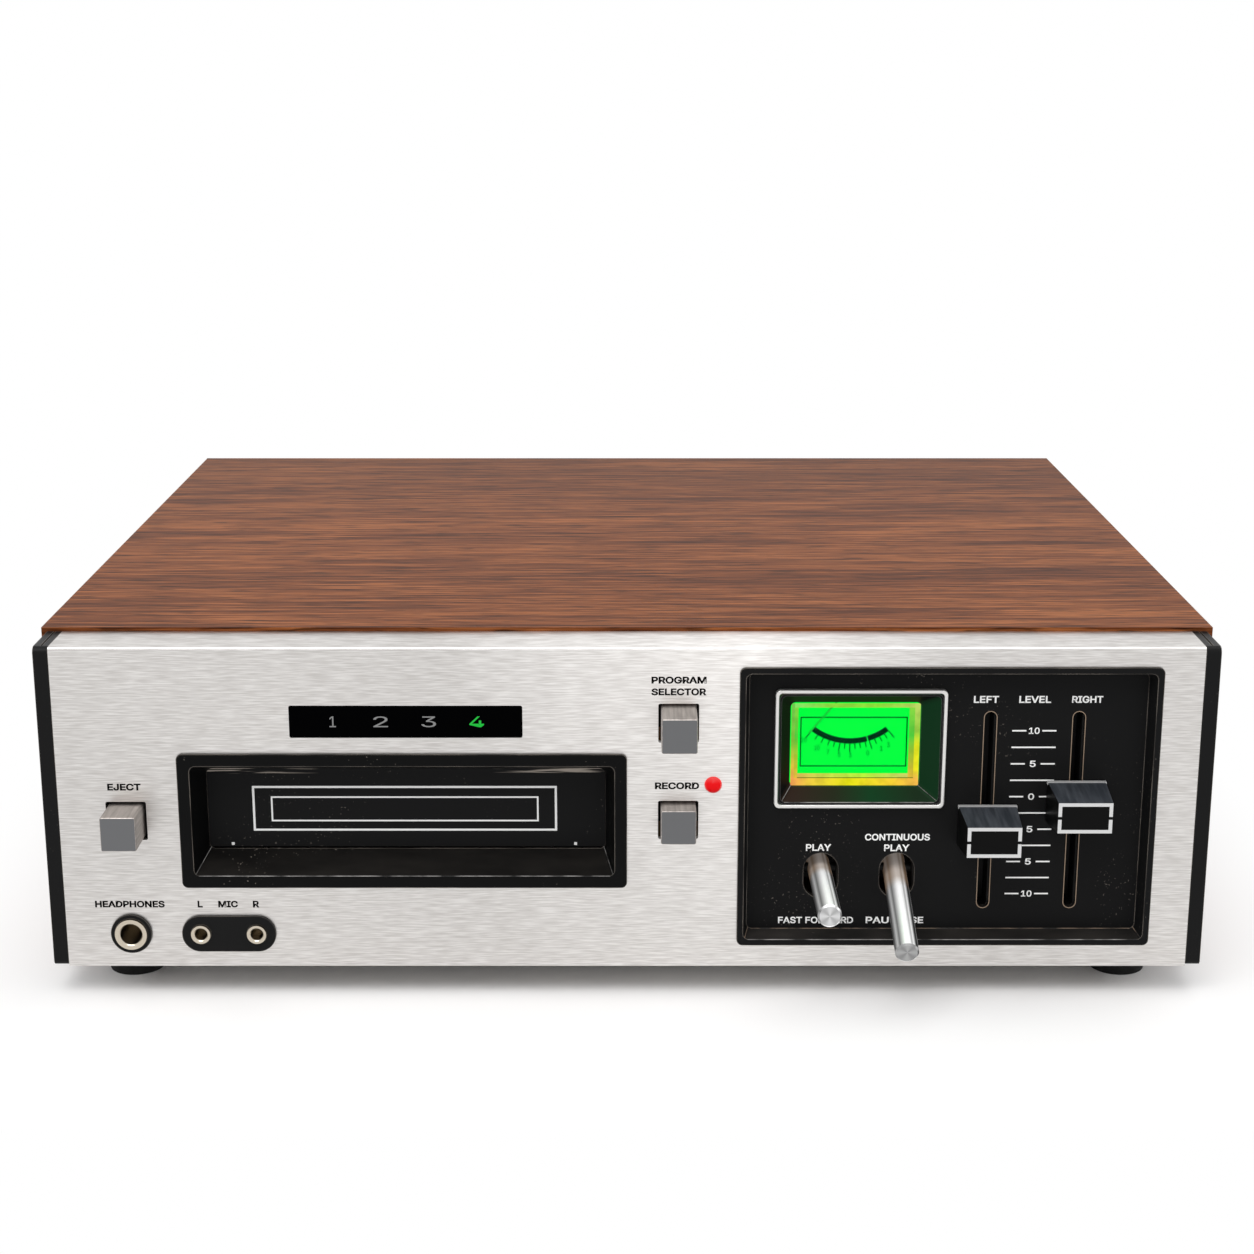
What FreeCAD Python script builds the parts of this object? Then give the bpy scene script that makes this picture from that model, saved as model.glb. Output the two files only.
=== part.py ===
import FreeCAD, Part
import math
import os
import Sketcher

# An 8 track player in a walnut cabinet, in millimetres.
# X runs to the right, Y runs back from the viewer and Z runs up. The origin is on the
# floor, under the middle of the whole object with its controls.
# Every piece is drawn in one panel frame: its depth is measured back from the face of
# the front panel and its height from the panel's lower edge. seat() then moves the
# piece into place.

SIZES = {
    # cabinet
    "cabinet_wide": 350.0,
    "cabinet_depth": 290.0,
    "board_thick": 12.0,
    "board_setback": 18.0,
    "lid_proud": 1.2,
    "foot_high": 9.0,
    "front_reach": 27.0,
    "back_setback": 10.5,
    # front panel
    "panel_inset": 1.75,
    "panel_high": 100.0,
    "sheet_thick": 2.0,
    "cap_wide": 4.5,
    "edge_round": 0.8,
    "cap_round": 2.0,
    "cap_groove": 0.5,
    "seam_gap": 0.2,
    "part_gap": 0.3,
    "running_gap": 0.05,
    "lower_fold": 12.0,
    # cartridge bay
    "bay_x": -66.5,
    "bay_z": 46.5,
    "rim_side": 3.7,
    "rim_above": 3.8,
    "bezel_corner": 1.8,
    "bezel_lap": 2.0,
    "rim_proud": 0.8,
    "mouth_side": 2.8,
    "mouth_above": 4.45,
    "port_side": 9.2,
    "port_above": 1.65,
    "port_depth": 11.0,
    "door_thick": 1.8,
    "hinge_radius": 2.2,
    "hinge_rise": 2.5,
    "pin_radius": 1.0,
    "ear_thick": 2.0,
    "cartridge_wide": 101.6,
    "cartridge_high": 22.2,
    "cartridge_play": 0.5,
    "guide_thick": 2.0,
    "guide_high": 28.0,
    "guide_start": 44.0,
    "guide_end": 105.0,
    "ledge_start": 15.0,
    "ledge_wide": 9.0,
    # push buttons
    "eject_gap": 15.7,
    "select_gap": 15.2,
    "select_z": 76.9,
    "record_z": 46.8,
    "button_wide": 10.4,
    "button_round": 0.6,
    "button_play": 0.8,
    "eject_reach": 12.0,
    "select_reach": 13.2,
    "record_reach": 7.0,
    "button_back": 9.0,
    "stem_radius": 1.5,
    "eject_stem_end": 104.2,
    "switch_depth": 17.0,
    "switch_long": 17.0,
    "switch_wide": 13.0,
    "switch_stem_end": 24.0,
    "switch_bore_end": 30.5,
    # display and record lamp
    "display_x": -65.0,
    "display_z": 77.35,
    "display_wide": 68.6,
    "display_high": 9.9,
    "display_corner": 0.6,
    "digit_pitch": 14.1,
    "lamp_pitch": 10.3,
    "lamp_z": 57.8,
    "lamp_radius": 2.4,
    # jacks
    "phones_x": -149.2,
    "jack_z": 10.7,
    "phones_bore": 3.25,
    "phones_radius": 4.8,
    "phones_ring": 6.15,
    "phones_long": 30.0,
    "phones_body": 14.4,
    "mic_x": -119.8,
    "mic_pitch": 16.8,
    "mic_bore": 1.85,
    "mic_radius": 2.9,
    "mic_long": 16.0,
    "mic_body": 9.0,
    "mic_plate_wide": 28.2,
    "mic_plate_high": 11.4,
    # control tray
    "tray_x": 95.0,
    "tray_z": 50.5,
    "tray_wide": 124.0,
    "tray_high": 87.0,
    "tray_corner": 1.8,
    "tray_lap": 0.7,
    "tray_rim": 1.9,
    "tray_deep": 5.0,
    "tray_draft": 1.2,
    "tray_floor": 2.0,
    # meter
    "meter_x": 69.2,
    "meter_z": 67.6,
    "meter_wide": 50.8,
    "meter_high": 36.8,
    "meter_corner": 1.6,
    "frame_line": 1.1,
    "frame_proud": 1.8,
    "case_side": 0.6,
    "case_above": 2.6,
    "case_back": 26.0,
    "case_wall": 2.0,
    "lens_x": 68.1,
    "lens_wide": 38.5,
    "lens_high": 26.0,
    "lens_depth": 8.4,
    "lens_thick": 1.8,
    "lens_bevel": 0.9,
    "dial_depth": 14.2,
    "dial_thick": 0.6,
    "pointer_x": 67.1,
    "pointer_depth": 12.2,
    "pointer_thick": 0.4,
    "pointer_high": 17.3,
    "pointer_rest": 40.0,
    "pointer_long": 19.5,
    "pointer_wide": 0.5,
    "staff_radius": 0.6,
    # levers
    "play_x": 58.4,
    "pause_x": 81.3,
    "lever_z": 27.2,
    "lever_radius": 3.5,
    "lever_pivot": 12.0,
    "lever_tail": 3.2,
    "lever_chamfer": 0.5,
    "lever_swing": 18.5,
    "lever_slot_wide": 10.5,
    "lever_slot_high": 14.4,
    "lever_pin": 1.5,
    "lever_ear": 1.5,
    "lever_cheek": 5.0,
    "bracket_back": 18.5,
    # level controls
    "level_mid": 120.7,
    "level_pitch": 26.2,
    "level_z": 47.9,
    "slot_wide": 3.6,
    "slot_high": 62.0,
    "knob_front": 11.0,
    "knob_gap": 0.8,
    "knob_wide": 16.0,
    "knob_high": 9.4,
    "knob_back_wide": 17.4,
    "knob_back_high": 12.6,
    "left_level": -4.2,
    "right_level": 3.4,
    "tang_thick": 1.6,
    "tang_high": 3.0,
    "tang_end": 14.0,
    "fader_wide": 12.0,
    "fader_high": 74.0,
    "fader_back": 18.5,
    # feet and covers
    "foot_inset": 22.0,
    "foot_front": 22.0,
    "foot_back": 21.5,
    "foot_radius": 10.0,
    "foot_tip": 8.4,
    "cover_thick": 1.2,
    "vent_wide": 3.0,
    "vent_long": 40.0,
    "vent_pitch": 8.0,
    "back_thick": 1.5,
    # back
    "line_x": -120.0,
    "line_z": 34.0,
    "line_pitch": 19.0,
    "line_radius": 4.15,
    "line_long": 9.0,
    "line_bore": 1.7,
    "line_collar": 5.0,
    "gland_x": 118.0,
    "gland_z": 26.0,
    "gland_bore": 3.6,
    "gland_radius": 6.0,
    # mechanism
    "deck_low": 28.5,
    "deck_thick": 1.5,
    "deck_left": -158.0,
    "deck_gap": 1.4,
    "deck_front": 14.0,
    "deck_back": 175.0,
    "pillar_radius": 4.0,
    "capstan_inset": 16.8,
    "capstan_depth": 103.0,
    "capstan_radius": 2.4,
    "capstan_top": 52.0,
    "bearing_radius": 6.0,
    "flywheel_radius": 36.0,
    "flywheel_low": 11.0,
    "flywheel_thick": 12.0,
    "thrust_gap": 4.0,
    "thrust_low": 5.0,
    "belt_thick": 0.8,
    "belt_high": 5.0,
    "motor_x": -125.0,
    "motor_depth": 150.0,
    "motor_radius": 22.0,
    "motor_high": 42.0,
    "pulley_radius": 6.0,
    "shaft_radius": 1.2,
    "head_depth": 102.0,
    "head_long": 9.0,
    "carriage_wide": 34.0,
    "carriage_deep": 8.0,
    "carriage_low": 38.0,
    "carriage_high": 14.0,
    "post_radius": 1.5,
    "post_pitch": 26.0,
    "cam_radius": 8.4,
    "cam_rise": 2.4,
    "cam_fall": 270.0,
    "cam_dwell": 20.0,
    "cam_depth": 121.0,
    "cam_thick": 4.0,
    "ratchet_radius": 8.0,
    "ratchet_teeth": 12.0,
    "follower_radius": 1.0,
    "follower_z": 49.0,
    "solenoid_x": -46.0,
    "solenoid_z": 52.4,
    "solenoid_long": 30.0,
    "solenoid_bore": 3.2,
    "plunger_reach": 20.0,
    "lock_reach": 13.7,
    "lock_depth": 110.0,
    "lock_roller_depth": 80.0,
    "lock_roller_radius": 4.5,
    "lock_arm_low": 39.0,
    "lock_arm_thick": 2.0,
    # electrics
    "core_x": 112.0,
    "core_inset": 41.5,
    "core_wide": 58.0,
    "core_deep": 46.0,
    "core_high": 48.0,
    "main_board_low": 12.0,
    "main_board_thick": 1.6,
    "main_board_x": 20.0,
    "main_board_front": 60.0,
    "main_board_wide": 132.0,
    "main_board_gap": 15.0,
    "spacer_inset": 6.0,
    "capacitor_radius": 9.0,
    "capacitor_high": 30.0,
    "chip_wide": 9.0,
    "chip_long": 20.0,
    "chip_high": 4.0,
    "chip_pitch": 22.0,
    "sink_wide": 44.0,
    "sink_high": 26.0,
    "sink_fins": 6.0,
    "fin_thick": 2.4,
    "fin_deep": 14.0,
    "can_wide": 12.0,
    "can_high": 14.0,
    "can_pitch": 16.0,
    "can_gap": 6.6,
}


class Size:
    """A length that carries its number and the sheet expression that it comes from."""

    def __init__(self, value, text):
        self.value = value
        self.text = text

    def joined(self, sign, value, other):
        return Size(value, "(" + self.text + " " + sign + " " + as_size(other).text + ")")

    def __add__(self, other):
        return self.joined("+", self.value + as_size(other).value, other)

    def __sub__(self, other):
        return self.joined("-", self.value - as_size(other).value, other)

    def __mul__(self, other):
        return self.joined("*", self.value * as_size(other).value, other)

    def __truediv__(self, other):
        return self.joined("/", self.value / as_size(other).value, other)

    def __radd__(self, other):
        return as_size(other) + self

    def __rsub__(self, other):
        return as_size(other) - self

    def __rmul__(self, other):
        return as_size(other) * self

    def __neg__(self):
        return as_size(0) - self


def as_size(thing):
    if isinstance(thing, Size):
        return thing
    return Size(float(thing), repr(float(thing)))


class Sheet:
    """The driving dimensions, each one a cell of the spreadsheet with an alias."""

    def __init__(self, doc, sizes):
        cells = doc.addObject("Spreadsheet::Sheet", "Sizes")
        for row, (alias, value) in enumerate(sizes.items(), 1):
            cells.set("A%d" % row, alias)
            cells.set("B%d" % row, str(value))
            cells.setAlias("B%d" % row, alias)
        doc.recompute()
        for alias in sizes:
            setattr(self, alias, Size(float(getattr(cells, alias)), "Sizes." + alias))


doc = FreeCAD.newDocument("player")
s = Sheet(doc, SIZES)
nodes = []

# Places worked out from the driving dimensions, in the panel frame.

face_y = (s.front_reach - s.cabinet_depth) / 2
half_wide = s.cabinet_wide / 2
panel_half = half_wide - s.panel_inset
face_half = panel_half - s.cap_wide
lid_top = s.panel_high + s.lid_proud
lid_low = lid_top - s.board_thick
cover_low = s.sheet_thick
cover_top = cover_low + s.cover_thick
back_depth = s.cabinet_depth - s.back_setback
core_depth = back_depth - s.core_inset
main_board_deep = core_depth - s.core_deep / 2 - s.main_board_gap - s.main_board_front
deck_top = s.deck_low + s.deck_thick
port_wide = s.cartridge_wide + s.port_side * 2
port_high = s.cartridge_high + s.port_above * 2
mouth_wide = port_wide + s.mouth_side * 2
mouth_high = port_high + s.mouth_above * 2
bezel_wide = mouth_wide + s.rim_side * 2
bezel_high = mouth_high + s.rim_above * 2
port_low = s.bay_z - port_high / 2
port_top = s.bay_z + port_high / 2
hinge_z = port_top + s.hinge_rise
hinge_depth = s.port_depth + s.part_gap + s.hinge_radius
guide_half = s.cartridge_wide / 2 + s.cartridge_play
tray_back = s.tray_deep + s.tray_floor
cam_z = s.follower_z - s.follower_radius - s.part_gap - s.cam_radius
carriage_depth = s.head_depth + s.head_long
belt_mid = s.flywheel_low + s.flywheel_thick / 2
bezel_back_wide = bezel_wide - (s.bezel_lap + s.seam_gap) * 2
eject_x = s.bay_x - bezel_wide / 2 - s.eject_gap
select_x = s.bay_x + bezel_wide / 2 + s.select_gap
lamp_x = select_x + s.lamp_pitch
deck_right = select_x - s.switch_wide * 0.6 - s.deck_gap
capstan_x = s.bay_x + s.cartridge_wide / 2 - s.capstan_inset
lock_x = eject_x + s.lock_reach
case_wide = s.meter_wide + s.case_side * 2
case_high = s.meter_high + s.case_above * 2
lock_roller_x = s.bay_x - guide_half - s.lock_roller_radius
thrust_reach = s.flywheel_radius + s.thrust_gap + s.pillar_radius * 0.75


# Drawing helpers.

def bind(obj, prop, size):
    obj.setExpression(prop, as_size(size).text)


def place(obj, x=0, depth=0, z=0, turn=None):
    """Moves a piece by bound lengths, with an optional fixed turn."""
    spot = FreeCAD.Vector(as_size(x).value, as_size(depth).value, as_size(z).value)
    obj.Placement = FreeCAD.Placement(spot, turn or FreeCAD.Rotation())
    bind(obj, "Placement.Base.x", x)
    bind(obj, "Placement.Base.y", depth)
    bind(obj, "Placement.Base.z", z)
    return obj


def seat(name, *parts):
    """Groups the solids of one node, and moves them from the panel frame to the floor's."""
    node = doc.addObject("Part::Compound", "node")
    node.Links = list(parts)
    node.Label = name
    nodes.append(place(node, 0, face_y, s.foot_high))


TURNS = {
    "+Z": FreeCAD.Rotation(),
    "-Z": FreeCAD.Rotation(FreeCAD.Vector(1, 0, 0), 180),
    "+X": FreeCAD.Rotation(FreeCAD.Vector(0, 1, 0), 90),
    "-X": FreeCAD.Rotation(FreeCAD.Vector(0, 1, 0), -90),
    "+Y": FreeCAD.Rotation(FreeCAD.Vector(1, 0, 0), -90),
    "-Y": FreeCAD.Rotation(FreeCAD.Vector(1, 0, 0), 90),
}


def block(x, depth, z, wide, deep, high):
    """A box from its lowest corner."""
    box = doc.addObject("Part::Box", "block")
    bind(box, "Length", wide)
    bind(box, "Width", deep)
    bind(box, "Height", high)
    return place(box, x, depth, z)


def middle_block(x, depth, z, wide, deep, high):
    """A box whose X and Z are given at its middle, and whose depth is its front."""
    return block(x - as_size(wide) / 2, depth, z - as_size(high) / 2, wide, deep, high)


def bar(x, depth, z, radius, length, along="+Z"):
    """A cylinder from the middle of its first end."""
    cylinder = doc.addObject("Part::Cylinder", "bar")
    bind(cylinder, "Radius", radius)
    bind(cylinder, "Height", length)
    return place(cylinder, x, depth, z, TURNS[along])


def cone(x, depth, z, first, last, length, along="+Z"):
    taper = doc.addObject("Part::Cone", "cone")
    bind(taper, "Radius1", first)
    bind(taper, "Radius2", last)
    bind(taper, "Height", length)
    return place(taper, x, depth, z, TURNS[along])


def fuse(*parts):
    joined = doc.addObject("Part::MultiFuse", "fuse")
    joined.Shapes = list(parts)
    joined.Refine = True
    return joined


def cut(base, *tools):
    result = doc.addObject("Part::Cut", "cut")
    result.Base = base
    result.Tool = tools[0] if len(tools) == 1 else fuse(*tools)
    result.Refine = True
    return result


def new_body():
    return doc.addObject("PartDesign::Body", "body")


def sketch_on(body, role, shift=0):
    """A sketch on one of the body's own planes, shifted along the plane's normal."""
    plane = next(item for item in body.Origin.OriginFeatures if item.Role == role)
    sketch = body.newObject("Sketcher::SketchObject", "sketch")
    sketch.AttachmentSupport = [(plane, "")]
    sketch.MapMode = "FlatFace"
    bind(sketch, "AttachmentOffset.Base.z", shift)
    return sketch


def front_sketch(body, depth=0):
    """A sketch that faces the viewer at a depth behind the panel's face."""
    return sketch_on(body, "XZ_Plane", -as_size(depth))


def fix(sketch, kind, *where):
    """Adds one dimension whose value is bound to the sheet."""
    size = as_size(where[-1])
    index = sketch.addConstraint(Sketcher.Constraint(kind, *where[:-1], size.value))
    sketch.setExpression("Constraints[%d]" % index, size.text)


ORIGIN = (-1, 1)


def fix_point(sketch, geometry, end, x, y):
    fix(sketch, "DistanceX", *ORIGIN, geometry, end, x)
    fix(sketch, "DistanceY", *ORIGIN, geometry, end, y)


def polygon(sketch, points):
    """A closed outline with every corner bound to the sheet."""
    spots = [FreeCAD.Vector(as_size(x).value, as_size(y).value, 0) for x, y in points]
    edges = []
    for first, last in zip(spots, spots[1:] + spots[:1]):
        edges.append(sketch.addGeometry(Part.LineSegment(first, last)))
    for edge, after in zip(edges, edges[1:] + edges[:1]):
        sketch.addConstraint(Sketcher.Constraint("Coincident", edge, 2, after, 1))
    for edge, (x, y) in zip(edges, points):
        fix_point(sketch, edge, 1, x, y)


def circle(sketch, x, y, radius):
    middle = FreeCAD.Vector(as_size(x).value, as_size(y).value, 0)
    ring = Part.Circle(middle, FreeCAD.Vector(0, 0, 1), as_size(radius).value)
    edge = sketch.addGeometry(ring)
    fix(sketch, "Radius", edge, radius)
    fix_point(sketch, edge, 3, x, y)


def rounded(sketch, x, y, wide, high, corner):
    """A rectangle round the point x, y with tangent arcs at its corners."""
    x, y, wide, high, corner = [as_size(item) for item in (x, y, wide, high, corner)]
    left, right = x.value - wide.value / 2, x.value + wide.value / 2
    low, top = y.value - high.value / 2, y.value + high.value / 2
    bend = corner.value
    runs = [
        ((left + bend, low), (right - bend, low), (right - bend, low + bend), -90),
        ((right, low + bend), (right, top - bend), (right - bend, top - bend), 0),
        ((right - bend, top), (left + bend, top), (left + bend, top - bend), 90),
        ((left, top - bend), (left, low + bend), (left + bend, low + bend), 180),
    ]
    edges = []
    for first, last, middle, start in runs:
        ends = [FreeCAD.Vector(*first, 0), FreeCAD.Vector(*last, 0)]
        edges.append(sketch.addGeometry(Part.LineSegment(*ends)))
        ring = Part.Circle(FreeCAD.Vector(*middle, 0), FreeCAD.Vector(0, 0, 1), bend)
        angles = [math.radians(start), math.radians(start + 90)]
        edges.append(sketch.addGeometry(Part.ArcOfCircle(ring, *angles)))
    for edge, after in zip(edges, edges[1:] + edges[:1]):
        sketch.addConstraint(Sketcher.Constraint("Tangent", edge, 2, after, 1))
    for index, direction in enumerate(("Horizontal", "Vertical") * 2):
        sketch.addConstraint(Sketcher.Constraint(direction, edges[2 * index]))
    for edge in edges[3::2]:
        sketch.addConstraint(Sketcher.Constraint("Equal", edges[1], edge))
    fix(sketch, "Radius", edges[1], corner)
    fix(sketch, "DistanceX", *ORIGIN, edges[2], 1, x + wide / 2)
    fix(sketch, "DistanceX", *ORIGIN, edges[6], 1, x - wide / 2)
    fix(sketch, "DistanceY", *ORIGIN, edges[4], 1, y + high / 2)
    fix(sketch, "DistanceY", *ORIGIN, edges[0], 1, y - high / 2)


def slot(sketch, x, y, wide, high):
    """An upright slot with half-round ends."""
    x, y, wide, high = [as_size(item) for item in (x, y, wide, high)]
    half, rise = wide.value / 2, (high.value - wide.value) / 2
    up = FreeCAD.Vector(0, 0, 1)
    upper = Part.Circle(FreeCAD.Vector(x.value, y.value + rise, 0), up, half)
    lower = Part.Circle(FreeCAD.Vector(x.value, y.value - rise, 0), up, half)
    ends = [FreeCAD.Vector(x.value + side * half, y.value + lift * rise, 0)
            for side, lift in ((1, -1), (1, 1), (-1, 1), (-1, -1))]
    right = sketch.addGeometry(Part.LineSegment(ends[0], ends[1]))
    top = sketch.addGeometry(Part.ArcOfCircle(upper, 0, math.pi))
    left = sketch.addGeometry(Part.LineSegment(ends[2], ends[3]))
    base = sketch.addGeometry(Part.ArcOfCircle(lower, math.pi, 2 * math.pi))
    run = [right, top, left, base]
    for edge, after in zip(run, run[1:] + run[:1]):
        sketch.addConstraint(Sketcher.Constraint("Tangent", edge, 2, after, 1))
    sketch.addConstraint(Sketcher.Constraint("Vertical", right))
    fix(sketch, "Radius", top, wide / 2)
    fix_point(sketch, top, 3, x, y + (high - wide) / 2)
    fix(sketch, "DistanceY", *ORIGIN, base, 3, y - (high - wide) / 2)


def pad(body, sketch, length, backward=True):
    """Adds a prism. A front sketch grows back from the viewer unless told otherwise."""
    feature = body.newObject("PartDesign::Pad", "pad")
    feature.Profile = sketch
    feature.Reversed = backward
    bind(feature, "Length", length)
    return feature


def pocket(body, sketch, length, backward=True):
    """Cuts a prism. A front sketch cuts back from the viewer unless told otherwise."""
    feature = body.newObject("PartDesign::Pocket", "pocket")
    feature.Profile = sketch
    feature.Reversed = not backward
    bind(feature, "Length", length)
    doc.recompute()
    before = feature.BaseFeature.Shape.Volume
    if before - feature.Shape.Volume < 1e-3:
        raise RuntimeError("a pocket cuts nothing in " + body.Name)
    return feature


def loft(body, first, last, hollow=False):
    kind = "PartDesign::SubtractiveLoft" if hollow else "PartDesign::AdditiveLoft"
    feature = body.newObject(kind, "loft")
    feature.Profile = first
    feature.Sections = [last]
    feature.Ruled = True
    return feature


def soften(body, kind, size, wanted):
    """Rounds or chamfers the edges of the body's last feature that wanted picks."""
    doc.recompute()
    base = body.Tip
    names = []
    for index, edge in enumerate(base.Shape.Edges, 1):
        if wanted(edge.BoundBox):
            names.append("Edge%d" % index)
    if not names:
        raise RuntimeError("no edge to soften in " + body.Name)
    feature = body.newObject("PartDesign::" + kind, kind.lower())
    feature.Base = (base, names)
    bind(feature, "Radius" if kind == "Fillet" else "Size", size)
    return feature


def near(value, size, slack=1e-4):
    return abs(value - as_size(size).value) < slack


def at_depth(depth):
    """Picks the edges that lie in one plane facing the viewer."""
    return lambda box: near(box.YMin, depth) and near(box.YMax, depth)


# Cabinet.

def make_boards():
    top = block(-half_wide, s.board_setback, lid_low,
                s.cabinet_wide, s.cabinet_depth - s.board_setback, s.board_thick)
    seat("top_board", top)
    for name, x in (("left_side_board", -half_wide),
                    ("right_side_board", half_wide - s.board_thick)):
        side = block(x, s.board_setback, 0,
                     s.board_thick, s.cabinet_depth - s.board_setback, lid_low)
        seat(name, side)


def make_front_panel():
    """A folded sheet with a flange at its top and a shorter one at its foot."""
    body = new_body()
    section = sketch_on(body, "YZ_Plane", -face_half)
    polygon(section, [
        (0, 0), (s.lower_fold, 0), (s.lower_fold, s.sheet_thick),
        (s.sheet_thick, s.sheet_thick), (s.sheet_thick, s.panel_high - s.sheet_thick),
        (s.board_setback, s.panel_high - s.sheet_thick), (s.board_setback, s.panel_high),
        (0, s.panel_high)])
    pad(body, section, face_half * 2, backward=False)
    soften(body, "Fillet", s.edge_round,
           lambda box: near(box.YMax, 0) and near(box.ZMin, s.panel_high))
    holes = front_sketch(body)
    rounded(holes, s.bay_x, s.bay_z, bezel_wide - s.bezel_lap * 2,
            bezel_high - s.bezel_lap * 2, s.bezel_corner)
    rounded(holes, s.tray_x, s.tray_z, s.tray_wide - s.tray_lap * 2,
            s.tray_high - s.tray_lap * 2, s.tray_corner)
    rounded(holes, s.display_x, s.display_z, s.display_wide, s.display_high,
            s.display_corner)
    for x, z in button_spots():
        rounded(holes, x, z, s.button_wide + s.button_play * 2,
                s.button_wide + s.button_play * 2, s.button_round)
    circle(holes, lamp_x, s.lamp_z, s.lamp_radius + s.seam_gap)
    circle(holes, s.phones_x, s.jack_z, s.phones_radius + s.seam_gap)
    for x in mic_spots():
        circle(holes, x, s.jack_z, s.mic_radius + s.seam_gap)
    pocket(body, holes, s.sheet_thick)
    seat("front_panel", body)


def make_end_caps():
    """A moulded strip at each end of the panel, with a groove along its top and front."""
    for name, x in (("left_end_cap", -panel_half), ("right_end_cap", face_half)):
        body = new_body()
        side = sketch_on(body, "YZ_Plane", x)
        polygon(side, [(0, 0), (s.board_setback, 0), (s.board_setback, s.panel_high),
                       (0, s.panel_high)])
        pad(body, side, s.cap_wide, backward=False)
        soften(body, "Fillet", s.cap_round, lambda box: near(box.YMax, 0) and box.ZLength < 1)
        groove = sketch_on(body, "YZ_Plane", x + (s.cap_wide - s.cap_groove) / 2)
        polygon(groove, [(s.cap_round, s.panel_high - s.cap_groove),
                         (s.board_setback, s.panel_high - s.cap_groove),
                         (s.board_setback, s.panel_high), (s.cap_round, s.panel_high)])
        pocket(body, groove, s.cap_groove, backward=False)
        seat(name, body)


# Cartridge mouth and door.

def make_cartridge_bezel():
    """A moulded funnel with a rim in front and an ear for the door pin at each side."""
    body = new_body()
    wide = bezel_back_wide
    high = bezel_high - (s.bezel_lap + s.seam_gap) * 2
    rim = front_sketch(body, -s.rim_proud)
    rounded(rim, s.bay_x, s.bay_z, bezel_wide, bezel_high, s.bezel_corner)
    pad(body, rim, s.rim_proud)
    shell = front_sketch(body)
    rounded(shell, s.bay_x, s.bay_z, wide, high, s.bezel_corner)
    pad(body, shell, s.port_depth)
    ears = front_sketch(body, s.port_depth)
    for side in (-1, 1):
        middle = s.bay_x + side * (wide - s.ear_thick) / 2
        rounded(ears, middle, hinge_z, s.ear_thick, s.hinge_radius * 2, s.seam_gap)
    pad(body, ears, s.part_gap + s.hinge_radius * 2)
    mouth = front_sketch(body, -s.rim_proud)
    rounded(mouth, s.bay_x, s.bay_z, mouth_wide, mouth_high, s.bezel_corner)
    port = front_sketch(body, s.port_depth)
    rounded(port, s.bay_x, s.bay_z, port_wide, port_high, s.bezel_corner)
    loft(body, mouth, port, hollow=True)
    doc.recompute()
    bore = sketch_on(body, "YZ_Plane", s.bay_x - wide / 2)
    circle(bore, hinge_depth, hinge_z, s.pin_radius + s.running_gap)
    pocket(body, bore, wide, backward=False)
    seat("cartridge_bezel", body)


def door_half():
    return bezel_back_wide / 2 - s.ear_thick - s.part_gap


def make_cartridge_door():
    """A flap that hangs from a barrel, and closes the port from behind."""
    half = door_half()
    spring_room = s.ear_thick * 3
    flap_high = hinge_z - port_low - s.cartridge_play
    flap = block(s.bay_x - half, s.port_depth + s.part_gap, port_low + s.cartridge_play,
                 half * 2, s.door_thick, flap_high)
    barrel = bar(s.bay_x - half, hinge_depth, hinge_z, s.hinge_radius,
                 half * 2 - spring_room, "+X")
    bore = bar(s.bay_x - half - 1, hinge_depth, hinge_z, s.pin_radius + s.running_gap,
               half * 2 + 2, "+X")
    notch = block(s.bay_x + half - spring_room, s.port_depth, hinge_z - s.hinge_radius,
                  spring_room + 1, s.hinge_radius * 3, s.hinge_radius * 3)
    seat("cartridge_door", cut(fuse(flap, barrel), bore, notch))


def make_door_pin():
    seat("door_pin", bar(s.bay_x - bezel_back_wide / 2, hinge_depth, hinge_z, s.pin_radius,
                         bezel_back_wide, "+X"))


def coil(x, depth, z, radius, wire, turns, pitch, along):
    """A wound spring: one round wire swept along a helix."""
    helix = doc.addObject("Part::Helix", "helix")
    bind(helix, "Radius", radius)
    bind(helix, "Pitch", pitch)
    bind(helix, "Height", as_size(pitch) * turns)
    section = doc.addObject("Part::Circle", "section")
    bind(section, "Radius", wire)
    section.Placement = FreeCAD.Placement(
        FreeCAD.Vector(as_size(radius).value, 0, 0), TURNS["+Y"])
    bind(section, "Placement.Base.x", radius)
    spring = doc.addObject("Part::Sweep", "coil")
    spring.Sections = [section]
    spring.Spine = (helix, ["Edge1"])
    spring.Solid = True
    spring.Frenet = True
    return place(spring, x, depth, z, TURNS[along])


def make_torsion_springs():
    """One spring round the door pin and one round the lock arm's post."""
    wire = s.running_gap * 5
    pitch = wire * 2 + s.seam_gap
    start = s.bay_x + door_half() - s.ear_thick * 3 + s.part_gap * 2
    door = coil(start, hinge_depth, hinge_z, s.pin_radius + wire + s.seam_gap, wire, 5,
                pitch, "+X")
    lock = coil(lock_x, s.lock_depth, lock_top() + wire + s.seam_gap,
                s.pillar_radius / 2 + wire + s.seam_gap, wire, 5, pitch, "+Z")
    seat("torsion_springs", door, lock)


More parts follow.
